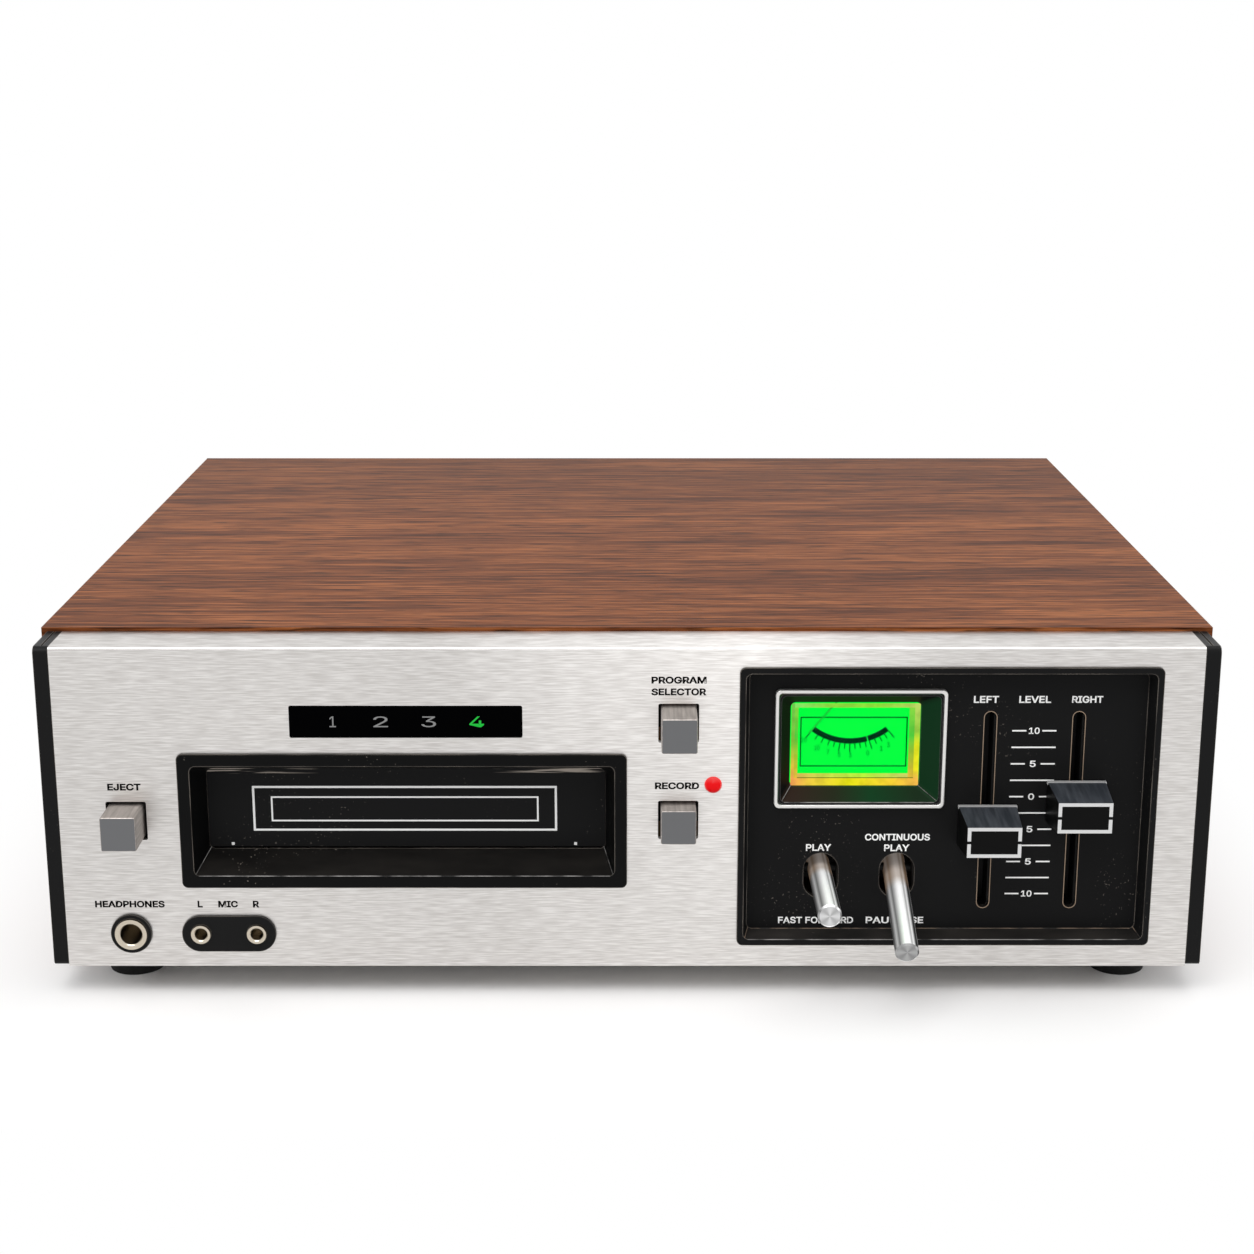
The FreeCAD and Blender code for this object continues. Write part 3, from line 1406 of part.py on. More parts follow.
def make_head():
    """The tape head on a carriage that slides up and down two posts."""
    centre = s.carriage_low + s.carriage_high / 2
    block_wide = s.carriage_high - s.sheet_thick
    core = middle_block(s.bay_x, s.head_depth + s.sheet_thick, centre, block_wide,
                        s.head_long - s.sheet_thick, block_wide)
    nose = bar(s.bay_x, s.head_depth + s.sheet_thick * 2, centre - block_wide / 2,
               s.sheet_thick * 2, block_wide)
    seat("tape_head", fuse(core, nose))
    slide = middle_block(s.bay_x, carriage_depth, centre, s.carriage_wide, s.carriage_deep,
                         s.carriage_high)
    follower = bar(s.bay_x, carriage_depth + s.carriage_deep, s.follower_z,
                   s.follower_radius,
                   s.cam_depth + s.cam_thick - carriage_depth - s.carriage_deep, "+Y")
    ways = [bar(x, depth, s.carriage_low - 1, s.post_radius + s.running_gap,
                s.carriage_high + 2) for x, depth in post_spots()]
    seat("head_carriage", cut(fuse(slide, follower), *ways))


def cam_outline():
    """A snail: the radius falls steadily over three quarters of a turn and then returns."""
    top = s.cam_radius.value
    rise = s.cam_rise.value
    fall_end = s.cam_fall.value
    dwell_end = fall_end + s.cam_dwell.value
    full_turn, step = 360, 10
    points = []
    for degree in range(0, full_turn, step):
        if degree <= fall_end:
            radius = top - rise * degree / fall_end
        elif degree <= dwell_end:
            radius = top - rise
        else:
            radius = top - rise * (full_turn - degree) / (full_turn - dwell_end)
        angle = math.radians(90 + degree)
        points.append(FreeCAD.Vector(radius * math.cos(angle), 0, radius * math.sin(angle)))
    return points


def ratchet_outline():
    """Saw teeth, each a long slope and a short step."""
    count = int(s.ratchet_teeth.value)
    outer = s.ratchet_radius.value
    inner = outer - s.sheet_thick.value / 2
    points = []
    for tooth in range(count):
        for radius in (inner, outer):
            angle = 2 * math.pi * (tooth + (radius == outer) * 0.96) / count
            points.append(FreeCAD.Vector(radius * math.cos(angle), 0, radius * math.sin(angle)))
    return points


def make_program_cam():
    """The snail cam that lifts the head, with the ratchet that steps it."""
    back = FreeCAD.Vector(0, s.cam_thick.value, 0)
    snail = Part.Face(Part.makePolygon(cam_outline() + cam_outline()[:1])).extrude(back)
    teeth = ratchet_outline()
    wheel = Part.Face(Part.makePolygon(teeth + teeth[:1])).extrude(back * 0.75)
    wheel.translate(back * 1.5)
    hub = Part.makeCylinder(s.pillar_radius.value, s.cam_thick.value * 2,
                            FreeCAD.Vector(), FreeCAD.Vector(0, 1, 0))
    hole = Part.makeCylinder(s.post_radius.value + s.running_gap.value,
                             s.cam_thick.value * 4, FreeCAD.Vector(0, -1, 0),
                             FreeCAD.Vector(0, 1, 0))
    solid = snail.fuse([wheel, hub]).cut(hole)
    solid.translate(FreeCAD.Vector(s.bay_x.value, s.cam_depth.value, cam_z.value))
    cam = doc.addObject("Part::Feature", "cam")
    cam.Shape = solid
    seat("program_cam", cam)


def make_solenoid():
    """A coil in a steel frame on the deck plate, with the plunger that works the ratchet."""
    depth = s.cam_depth + s.cam_thick * 2
    outer = s.solenoid_bore * 3
    frame = block(s.solenoid_x, depth - outer, deck_top, s.solenoid_long, outer * 2,
                  s.solenoid_z + outer - deck_top)
    room = block(s.solenoid_x + s.sheet_thick, depth - outer - 1, deck_top + s.sheet_thick,
                 s.solenoid_long - s.sheet_thick * 2, outer * 2 + 2,
                 s.solenoid_z + outer - deck_top - s.sheet_thick * 2)
    winding = bar(s.solenoid_x + s.sheet_thick, depth, s.solenoid_z, outer - s.sheet_thick / 2,
                  s.solenoid_long - s.sheet_thick * 2, "+X")
    way = bar(s.solenoid_x - 1, depth, s.solenoid_z, s.solenoid_bore + s.running_gap,
              s.solenoid_long + 2, "+X")
    seat("solenoid", cut(fuse(cut(frame, room), winding), way))
    reach = s.plunger_reach
    core = bar(s.solenoid_x - s.sheet_thick * 3, depth, s.solenoid_z, s.solenoid_bore,
               s.solenoid_long * 0.6, "+X")
    rod = bar(s.solenoid_x - reach, depth, s.solenoid_z, s.follower_radius,
              reach, "+X")
    pawl_high = s.solenoid_z - cam_z - s.ratchet_radius - s.part_gap
    pawl = middle_block(s.solenoid_x - reach, depth - s.sheet_thick / 2,
                        s.solenoid_z - pawl_high / 2, s.sheet_thick, s.sheet_thick, pawl_high)
    seat("solenoid_plunger", fuse(core, rod, pawl))


def lock_top():
    return s.lock_arm_low + s.lock_arm_thick


def make_lock_arm():
    """A flat arm from its post to the roller, with a tail in front of the eject stem."""
    arm = doc.addObject("Part::Feature", "arm")
    pivot = FreeCAD.Vector(lock_x.value, s.lock_depth.value, 0)
    roller = FreeCAD.Vector(lock_roller_x.value, s.lock_roller_depth.value, 0)
    tail = FreeCAD.Vector(eject_x.value, s.lock_depth.value, 0)
    half = s.pillar_radius.value * 0.75
    up = FreeCAD.Vector(0, 0, 1)
    thick = s.lock_arm_thick.value

    def link(first, last):
        side = up.cross((last - first).normalize()) * half
        strip = Part.makePolygon([first + side, last + side, last - side, first - side,
                                  first + side])
        strap = Part.Face(strip).extrude(up * thick)
        ends = [Part.makeCylinder(half, thick, spot) for spot in (first, last)]
        return strap.fuse(ends)

    collar = Part.makeCylinder(s.pillar_radius.value, thick, pivot)
    pin = Part.makeCylinder(s.post_radius.value, thick + roller_high().value
                            + s.sheet_thick.value, roller)
    tab_high = s.bay_z.value + s.stem_radius.value * 2 - s.lock_arm_low.value
    tab = Part.makeBox(half * 2, s.sheet_thick.value, tab_high,
                       tail - FreeCAD.Vector(half, s.sheet_thick.value / 2, 0))
    hole = Part.makeCylinder(s.pillar_radius.value / 2 + s.running_gap.value, thick * 3,
                             pivot - up * thick)
    solid = link(pivot, roller).fuse([link(pivot, tail), collar, pin, tab]).cut(hole)
    solid.translate(up * s.lock_arm_low.value)
    arm.Shape = solid.removeSplitter()
    seat("lock_arm", arm)
    wheel = bar(lock_roller_x, s.lock_roller_depth, lock_top() + s.part_gap,
                s.lock_roller_radius, roller_high() - s.part_gap)
    bore = bar(lock_roller_x, s.lock_roller_depth, lock_top(),
               s.post_radius + s.running_gap, roller_high() * 2)
    seat("lock_roller", cut(wheel, bore))


def roller_high():
    return s.sheet_thick * 3


# Electrics.

def make_transformer():
    """A laminated core with a wound bobbin, on two feet."""
    low = cover_top
    leg = s.core_wide / 6
    core = middle_block(s.core_x, core_depth - s.core_deep / 4, low + s.core_high / 2,
                        s.core_wide, s.core_deep / 2, s.core_high)
    windows = [middle_block(s.core_x + side * leg, core_depth - s.core_deep,
                            low + s.core_high / 2, leg, s.core_deep * 2,
                            s.core_high - leg * 2) for side in (-1, 1)]
    winding = middle_block(s.core_x, core_depth - s.core_deep / 2, low + s.core_high / 2,
                           leg * 3, s.core_deep, s.core_high - leg * 2 - s.part_gap * 2)
    feet = middle_block(s.core_x, core_depth - s.core_deep / 4, low + s.deck_thick / 2,
                        s.core_wide + leg * 2, s.core_deep / 2, s.deck_thick)
    seat("transformer", fuse(cut(core, *windows), winding, feet))


def board_place(across, back):
    """A place on the main board, as shares of its width and its depth."""
    return (s.main_board_x + s.main_board_wide * across,
            s.main_board_front + main_board_deep * back)


def spacer_spots():
    left, front = board_place(0, 0)
    right, back = board_place(1, 1)
    return [(x, depth) for x in (left + s.spacer_inset, right - s.spacer_inset)
            for depth in (front + s.spacer_inset, back - s.spacer_inset)]


def make_circuit_boards():
    """The main board on its spacers, and the small upright board behind the keys."""
    main = block(s.main_board_x, s.main_board_front, s.main_board_low, s.main_board_wide,
                 main_board_deep, s.main_board_thick)
    spacers = [bar(x, depth, cover_top, s.pillar_radius * 0.75, s.main_board_low - cover_top)
               for x, depth in spacer_spots()]
    key_depth = s.switch_depth + s.switch_long
    upright = block(select_x - s.switch_wide * 0.6, key_depth, cover_top,
                    s.switch_wide * 1.2, s.main_board_thick,
                    s.select_z + s.switch_wide / 2 - cover_top)
    seat("circuit_boards", fuse(main, *spacers), upright)


def make_heat_sink(x, depth, low):
    """A plate with a comb of upright fins behind it."""
    plate = block(x, depth, low, s.sink_wide, s.fin_thick, s.sink_high)
    count = int(s.sink_fins.value)
    pitch = (s.sink_wide - s.fin_thick) / (count - 1)
    fins = [block(x + pitch * step, depth, low, s.fin_thick, s.fin_deep + s.fin_thick,
                  s.sink_high) for step in range(count)]
    return fuse(plate, *fins)


def make_board_parts():
    """Capacitors of three sizes, three chips, a heat sink and two screening cans."""
    top = s.main_board_low + s.main_board_thick
    parts = []
    for across, back, share in ((0.14, 0.83, 1.0), (0.30, 0.84, 0.8), (0.14, 0.60, 0.55),
                                (0.27, 0.60, 0.55), (0.70, 0.17, 0.45), (0.80, 0.17, 0.45)):
        x, depth = board_place(across, back)
        parts.append(bar(x, depth, top, s.capacitor_radius * share,
                         s.capacitor_high * share))
    can_x, can_front = board_place(0.45, 0.42)
    chip_x, _ = board_place(0.15, 0)
    chip_front = can_front - s.can_gap - s.chip_long
    for step in range(3):
        parts.append(block(chip_x + s.chip_pitch * step, chip_front, top, s.chip_wide,
                           s.chip_long, s.chip_high))
    x, depth = board_place(0.55, 0.64)
    parts.append(make_heat_sink(x, depth, top))
    for step in range(2):
        parts.append(block(can_x + s.can_pitch * step, can_front, top, s.can_wide,
                           s.can_wide, s.can_high))
    seat("board_parts", *parts)


def build():
    make_boards()
    make_front_panel()
    make_end_caps()
    make_cartridge_bezel()
    make_cartridge_door()
    make_door_pin()
    make_torsion_springs()
    make_cartridge_guides()
    make_buttons()
    make_button_switches()
    make_display()
    make_record_lamp()
    make_jacks()
    make_jack_trims()
    make_control_tray()
    make_levers()
    make_level_controls()
    make_meter_frame()
    make_meter_housing()
    make_meter_lens()
    make_meter_dial()
    make_meter_movement()
    make_meter_needle()
    make_feet()
    make_case_screws()
    make_bottom_cover()
    make_back_panel()
    make_line_jacks()
    make_cord_gland()
    make_deck_plate()
    make_mechanism_posts()
    make_mechanism_brackets()
    make_capstan()
    make_drive_belt()
    make_motor()
    make_head()
    make_program_cam()
    make_solenoid()
    make_lock_arm()
    make_transformer()
    make_circuit_boards()
    make_board_parts()


def check_and_export():
    doc.recompute()
    for obj in doc.Objects:
        if "Invalid" in obj.State or "Error" in obj.State:
            raise RuntimeError("%s (%s) failed: %s" % (obj.Name, obj.Label, obj.State))
    os.makedirs("parts", exist_ok=True)
    for node in nodes:
        if node.Shape.isNull() or not node.Shape.isValid() or not node.Shape.Solids:
            raise RuntimeError("bad shape in " + node.Label)
    for node in nodes:
        node.Shape.exportStep("parts/%s.step" % node.Label)


build()
check_and_export()
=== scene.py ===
import math

import bpy
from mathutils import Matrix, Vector


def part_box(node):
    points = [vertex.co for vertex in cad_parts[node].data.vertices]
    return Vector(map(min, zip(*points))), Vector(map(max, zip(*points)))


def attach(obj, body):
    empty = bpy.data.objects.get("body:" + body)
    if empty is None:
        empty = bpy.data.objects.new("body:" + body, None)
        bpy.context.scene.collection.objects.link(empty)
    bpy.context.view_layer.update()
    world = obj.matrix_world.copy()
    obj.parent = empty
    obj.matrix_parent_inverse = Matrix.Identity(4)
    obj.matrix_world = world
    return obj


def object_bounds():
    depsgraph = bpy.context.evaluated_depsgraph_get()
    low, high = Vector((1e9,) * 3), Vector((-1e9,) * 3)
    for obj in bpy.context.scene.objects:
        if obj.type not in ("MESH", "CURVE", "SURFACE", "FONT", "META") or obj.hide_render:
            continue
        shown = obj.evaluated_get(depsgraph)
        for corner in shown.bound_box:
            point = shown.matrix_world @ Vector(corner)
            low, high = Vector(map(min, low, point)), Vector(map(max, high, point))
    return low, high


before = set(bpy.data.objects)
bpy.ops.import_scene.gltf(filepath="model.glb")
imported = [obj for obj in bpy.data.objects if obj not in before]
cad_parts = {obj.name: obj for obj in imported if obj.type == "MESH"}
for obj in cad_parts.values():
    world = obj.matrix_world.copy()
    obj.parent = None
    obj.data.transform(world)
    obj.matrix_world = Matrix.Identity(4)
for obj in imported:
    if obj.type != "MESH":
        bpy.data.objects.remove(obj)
cad_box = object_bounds()

# Places below are in millimetres in the panel's own frame: x to the right of the
# cabinet's middle, depth behind the face of the front panel and z above its lower edge.
# So TRAY_FLOOR, DOOR_FACE and DIAL_FACE are depths.

MM = 0.001
PANEL_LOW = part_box("front_panel")[0]
FACE_Y = PANEL_LOW.y
BASE_Z = PANEL_LOW.z
TRAY_FLOOR = 5.0
DOOR_FACE = 11.3
DIAL_FACE = 14.2
INK_THICK = 0.03
WORD_HIGH = 2.15


def spot(x, depth, z):
    """A place in the panel's frame, in the scene's metres."""
    return Vector((x * MM, FACE_Y + depth * MM, BASE_Z + z * MM))


def middle(node):
    """The middle of a node in the panel's frame, in millimetres."""
    low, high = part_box(node)
    centre = (Vector(low) + Vector(high)) / 2
    return centre.x / MM, (centre.y - FACE_Y) / MM, (centre.z - BASE_Z) / MM


# Materials.

class Shader:
    """A material and short ways to add nodes to it."""

    def __init__(self, name):
        self.material = bpy.data.materials.new(name)
        self.material.use_nodes = True
        self.tree = self.material.node_tree
        self.tree.nodes.clear()
        self.output = self.tree.nodes.new("ShaderNodeOutputMaterial")

    def node(self, kind, inputs=None, **settings):
        made = self.tree.nodes.new("ShaderNode" + kind)
        for name, value in settings.items():
            setattr(made, name, value)
        for name, value in (inputs or {}).items():
            self.feed(made.inputs[name], value)
        return made

    def feed(self, socket, value):
        if isinstance(value, bpy.types.NodeSocket):
            self.tree.links.new(value, socket)
        elif isinstance(value, (tuple, list)) and len(value) == 3 and socket.type == "RGBA":
            socket.default_value = (*value, 1.0)
        else:
            socket.default_value = value

    def surface(self, shader):
        self.feed(self.output.inputs["Surface"], shader.outputs[0])
        return self.material

    def principled(self, **inputs):
        named = {key.replace("_", " ").title().replace("Ior", "IOR"): value
                 for key, value in inputs.items()}
        return self.node("BsdfPrincipled", named)

    def math(self, operation, first, second=0.0, clamp=False):
        return self.node("Math", {0: first, 1: second}, operation=operation,
                         use_clamp=clamp).outputs[0]

    def place(self, scale=(1, 1, 1)):
        """The point on the object in metres, stretched by scale."""
        where = self.node("TexCoord").outputs["Object"]
        return self.node("Mapping", {"Vector": where, "Scale": scale}).outputs[0]

    def spread(self):
        """The X, Y and Z of the point on the object, in metres."""
        point = self.node("TexCoord").outputs["Object"]
        return self.node("SeparateXYZ", {0: point}).outputs

    def facing(self):
        """The X, Y and Z of the direction that the face looks in."""
        normal = self.node("NewGeometry").outputs["Normal"]
        return self.node("SeparateXYZ", {0: normal}).outputs

    def ranged(self, value, first, full, low=0.0, high=1.0):
        """Runs from low to high while the value runs from first to full."""
        return self.node("MapRange", {0: value, 1: first, 2: full, 3: low, 4: high}).outputs[0]

    def noise(self, scale, stretch=(1, 1, 1), detail=3.0, distortion=0.0):
        return self.node("TexNoise", {"Vector": self.place(stretch), "Scale": scale,
                                      "Detail": detail, "Distortion": distortion}).outputs[0]

    def ramp(self, value, stops):
        """A colour ramp. Each stop is a position and a colour or a grey level."""
        ramp = self.node("ValToRGB", {"Fac": value})
        elements = ramp.color_ramp.elements
        while len(elements) < len(stops):
            elements.new(1.0)
        for element, (position, colour) in zip(elements, stops):
            element.position = position
            grey = not isinstance(colour, tuple)
            element.color = (colour,) * 3 + (1.0,) if grey else (*colour, 1.0)
        return ramp.outputs[0]

    def mix(self, factor, first, second, blend="MIX"):
        return self.node("MixRGB", {"Fac": factor, "Color1": first, "Color2": second},
                         blend_type=blend).outputs[0]

    def blend(self, factor, first, second):
        made = self.node("MixShader", {0: factor})
        self.feed(made.inputs[1], first.outputs[0])
        self.feed(made.inputs[2], second.outputs[0])
        return made

    def bump(self, height, strength, distance):
        return self.node("Bump", {"Height": height, "Strength": strength,
                                  "Distance": distance}).outputs[0]


def plain(name, colour, roughness, metallic=0.0, specular=0.5):
    shader = Shader(name)
    return shader.surface(shader.principled(
        base_color=colour, roughness=roughness, metallic=metallic,
        specular_ior_level=specular))


def walnut(name, along, band):
    """Walnut veneer, darkened toward the back by painted shade. Its grain runs along one axis,
    and along another one on the edge bands, which are the faces that look along the first."""
    shader = Shader(name)
    normal = shader.facing()
    on_band = shader.math("GREATER_THAN", shader.math("ABSOLUTE", normal[along]), 0.7)

    def grain(slow, fast, detail, distortion=0.0):
        """Noise with so many waves in a metre along the grain and across it."""
        face, edge = ([slow if axis == run else fast for axis in range(3)]
                      for run in (along, band))
        where = shader.mix(on_band, shader.place(face), shader.place(edge))
        return shader.node("TexNoise", {"Vector": where, "Scale": 1.0, "Detail": detail,
                                        "Distortion": distortion}).outputs[0]

    figure = grain(5, 48, 3.0, 1.0)
    streaks = grain(18, 680, 6.0, 0.5)
    fibres = grain(45, 1500, 4.0)
    pores = grain(85, 1300, 2.0)
    tone = shader.math("ADD", shader.math("MULTIPLY", figure, 0.25),
                       shader.math("MULTIPLY", streaks, 0.43))
    tone = shader.math("ADD", tone, shader.math("MULTIPLY", fibres, 0.32))
    colour = shader.ramp(tone, [(0.42, (0.070, 0.019, 0.006)), (0.475, (0.132, 0.038, 0.012)),
                                (0.52, (0.198, 0.061, 0.019)), (0.575, (0.310, 0.105, 0.034))])
    dark = shader.ramp(pores, [(0.36, 0.25), (0.46, 1.0)])
    colour = shader.mix(0.8, colour, dark, "MULTIPLY")
    # Painted shade: the colour darkens toward the back, where the lamps light the top less.
    shade = shader.ranged(shader.spread()[1], 0.02, 0.15, 1.0, 0.76)
    colour = shader.mix(1.0, colour, shade, "MULTIPLY")
    return shader.surface(shader.principled(
        base_color=colour, roughness=0.40, specular_ior_level=0.03,
        normal=shader.bump(pores, 0.10, 0.0002)))


def brushed_aluminium():
    """Bright metal with fine level brush lines, and a painted sheen: the lamp's reflection,
    given as glow.
    """
    shader = Shader("brushed_aluminium_face")
    lines = shader.noise(1.0, (150, 600, 2500), 2.0)
    bands = shader.noise(1.0, (40, 60, 1900), 2.0)
    cloud = shader.noise(7.0)
    tone = shader.math("ADD", shader.math("MULTIPLY", lines, 0.82),
                       shader.math("MULTIPLY", bands, 0.18))
    colour = shader.ramp(tone, [(0.36, (0.565, 0.542, 0.521)), (0.5, (0.650, 0.628, 0.608)),
                                (0.64, (0.750, 0.730, 0.710))])
    patchy_tone = shader.ramp(cloud, [(0.35, 0.95), (0.62, 1.0)])
    colour = shader.mix(1.0, colour, patchy_tone, "MULTIPLY")
    # Painted reflection: the sheen mask sets a glow in the metal's own colour.
    glow = shader.mix(painted_lamp_sheen(shader), (0, 0, 0), (0.44, 0.44, 0.44))
    return shader.surface(shader.principled(
        base_color=colour, metallic=1.0, roughness=0.38,
        emission_color=shader.mix(1.0, glow, colour, "MULTIPLY"), emission_strength=1.0,
        normal=shader.bump(lines, 0.08, 0.0001)))


def painted_lamp_sheen(shader):
    """A painted reflection of the studio lamp: a bright upright band right of the middle."""
    where = shader.spread()
    ends = spot(-70, 0, 0).x, spot(110, 0, 0).x
    along = shader.ranged(where[0], *ends)
    across = shader.ramp(along, [(0.08, 0.0), (0.28, 0.45), (0.42, 0.6), (0.60, 1.0),
                                 (0.90, 0.0)])
    above = shader.ranged(where[2], spot(0, 0, 15).z, spot(0, 0, 98).z, 0.22)
    return shader.math("MULTIPLY", across, above)


def edge_mask(shader, radius):
    """One on sharp edges and nought on flat faces."""
    soft = shader.node("Bevel", {"Radius": radius}, samples=4)
    true = shader.node("NewGeometry").outputs["Normal"]
    same = shader.node("VectorMath", {0: soft.outputs[0], 1: true},
                       operation="DOT_PRODUCT").outputs["Value"]
    return shader.ranged(same, 0.995, 0.90)


def dust_specks(shader):
    """Scattered specks of dust, which gather in patches."""
    specks = shader.noise(1300.0, detail=1.0)
    patches = shader.noise(30.0)
    return shader.math("MULTIPLY", shader.ramp(specks, [(0.70, 0.0), (0.76, 1.0)]),
                       shader.ramp(patches, [(0.52, 0.0), (0.64, 1.0)]))


def worn_and_highlit_edges(shader):
    """Sharp edges painted pale in patches: partly rubbed wear, partly a painted highlight
    where a rounded edge would catch the light.
    """
    patchy = shader.ramp(shader.noise(70.0), [(0.38, 0.3), (0.60, 1.0)])
    return shader.math("MULTIPLY", edge_mask(shader, 0.0004), patchy)


def settled_dust(shader, amount):
    """A thin uneven veil of dust on the faces that look up."""
    upward = shader.ranged(shader.facing()[2], 0.5, 0.9, 0.0, amount)
    veil = shader.ramp(shader.noise(120.0, (0.4, 1, 1), 5.0), [(0.35, 0.35), (0.65, 1.0)])
    return shader.math("MULTIPLY", upward, veil)


def upper_scuffs(shader, node):
    """Pale rubs along a node's upper edge, near both of its ends. They begin and are full at
    so many metres below the edge and out from the middle."""
    begins_below, full_below = 0.0066, 0.0060
    begins_out, full_out = 0.026, 0.040
    low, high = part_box(node)
    where = shader.spread()
    above = shader.ranged(where[2], high.z - begins_below, high.z - full_below)
    off = shader.math("ABSOLUTE", shader.math("SUBTRACT", where[0], (low.x + high.x) / 2))
    ends = shader.ranged(off, begins_out, full_out)
    streak = shader.ramp(shader.noise(1.0, (40, 1, 1400)), [(0.50, 0.0), (0.58, 1.0)])
    return shader.math("MULTIPLY", shader.math("MULTIPLY", above, ends), streak)


def dusty_black(name, level, roughness, specular, dust, edge_wear_and_highlight=0.0, settled=0.0, scuffed=None):
    """Black plastic with specks of pale dust. It can have edges that are worn and carry a
    painted highlight, dust that has settled on its upward faces, and a node whose upper edge
    is scuffed."""
    shader = Shader(name)
    amount = shader.math("MULTIPLY", dust_specks(shader), dust)
    # Pale edges: partly wear and partly a painted highlight.
    if edge_wear_and_highlight:
        patchy_tone = shader.math("MULTIPLY", worn_and_highlit_edges(shader), edge_wear_and_highlight)
        amount = shader.math("ADD", amount, patchy_tone, clamp=True)
    if settled:
        amount = shader.math("ADD", amount, settled_dust(shader, settled), clamp=True)
    if scuffed:
        amount = shader.math("ADD", amount, upper_scuffs(shader, scuffed), clamp=True)
    colour = shader.mix(amount, (level, level, level * 1.03), (0.42, 0.37, 0.32))
    smear = shader.noise(38.0, detail=4.0, distortion=0.6)
    rough = shader.math("ADD", shader.math("MULTIPLY", smear, 0.08), roughness)
    return shader.surface(shader.principled(
        base_color=colour, roughness=rough, specular_ior_level=specular))


def highlight_and_wear_shader(name, pale):
    """A painted highlight line along a black moulding's rounded edge, partly rubbed wear too,
    brighter in some places than others.
    """
    shader = Shader(name)
    colour = shader.ramp(shader.noise(160.0, detail=4.0), [(0.38, (0.03, 0.03, 0.03)),
                                                          (0.60, pale)])
    return shader.surface(shader.principled(
        base_color=colour, roughness=0.5, specular_ior_level=0.1))


def glowing(name, colour, strength):
    shader = Shader(name)
    return shader.surface(shader.principled(
        base_color=(0.01, 0.01, 0.01), roughness=0.5, specular_ior_level=0.0,
        emission_color=colour, emission_strength=strength))


def jewel_red():
    """The lit red dome, with painted shade towards its rim and lower side, and a small painted
    highlight.
    """
    shader = Shader("jewel_red")
    normal = shader.facing()
    # Painted shade and highlight in the lamp's glow, set by how far each face looks up.
    upward = shader.math("ADD", shader.math("MULTIPLY", normal[2], 0.5), 0.5)
    glow = shader.ramp(upward, [(0.10, (0.40, 0.001, 0.002)), (0.42, (0.74, 0.002, 0.004)),
                                (0.72, (0.80, 0.005, 0.008)), (0.95, (0.86, 0.06, 0.06))])
    return shader.surface(shader.principled(
        base_color=(0.08, 0.001, 0.001), roughness=0.12, specular_ior_level=0.08,
        emission_color=glow, emission_strength=0.95))


def graded_glow(name, axis, low, high, stops):
    """Painted light that changes colour along X or Z, between two places in the panel's frame.
    """
    shader = Shader(name)
    where = shader.spread()
    ends = [spot(end, 0, 0).x if axis == 0 else spot(0, 0, end).z for end in (low, high)]
    along = shader.ranged(where[axis], *ends)
    uneven = shader.ramp(shader.noise(300.0), [(0.35, 0.82), (0.6, 1.0)])
    colour = shader.mix(1.0, shader.ramp(along, stops), uneven, "MULTIPLY")
    return shader.surface(shader.node("Emission", {"Color": colour, "Strength": 1.0}))


def lit_dial():
    """The meter's scale, lit from behind by a green lamp."""
    shader = Shader("lit_dial")
    return shader.surface(shader.node("Emission", {"Color": (0.0, 0.95, 0.045),
                                                   "Strength": 1.05}))


def clear_lens():
    shader = Shader("clear_lens")
    clear = shader.node("BsdfTransparent", {"Color": (1.0, 1.0, 1.0)})
    shine = shader.node("BsdfGlossy", {"Color": (1, 1, 1), "Roughness": 0.05})
    return shader.surface(shader.blend(0.002, clear, shine))


def funnel_black():
    """The meter's black funnel, which picks up the lamp's green below and to the right as a
    painted glow, and whose edges carry painted highlight lines.
    """
    shader = Shader("funnel_black")
    normal = shader.facing()
    # Painted light: masks for the lamp's glow on the funnel's lower and right-hand walls.
    below = shader.math("MAXIMUM", normal[2], 0.0)
    beside = shader.math("MAXIMUM", shader.math("MULTIPLY", normal[0], -1.0), 0.0)
    where = shader.spread()
    (x, _, _), half = middle("meter_frame"), 24
    ends = spot(x - half, 0, 0).x, spot(x + half, 0, 0).x
    along = shader.ranged(where[0], *ends)
    # Painted light: the glow's colour along the lower wall, warm at the left and green in the
    # middle.
    floor = shader.ramp(along, [(0.10, (0.030, 0.016, 0.010)), (0.35, (0.016, 0.022, 0.008)),
                                (0.58, (0.001, 0.050, 0.012)), (0.85, (0.006, 0.026, 0.008))])
    colour = shader.mix(1.0, shader.mix(below, (0, 0, 0), floor),
                        shader.mix(beside, (0, 0, 0), (0.0, 0.035, 0.008)), "ADD")
    # Painted highlight: the funnel's sharp edges are lightened to grey.
    edge = edge_mask(shader, 0.0003)
    base = shader.mix(shader.math("MULTIPLY", edge, 0.5), (0.006, 0.006, 0.006),
                      (0.20, 0.20, 0.20))
    return shader.surface(shader.principled(
        base_color=base, roughness=0.45, specular_ior_level=0.03, emission_color=colour,
        emission_strength=1.0))


def facing_front(shader, first=-0.90, full=-0.985):
    """One on faces that look to the front and nought on the others. The limits are the
    normal's Y where the face begins to count and where it counts in full."""
    return shader.ranged(shader.facing()[1], first, full)


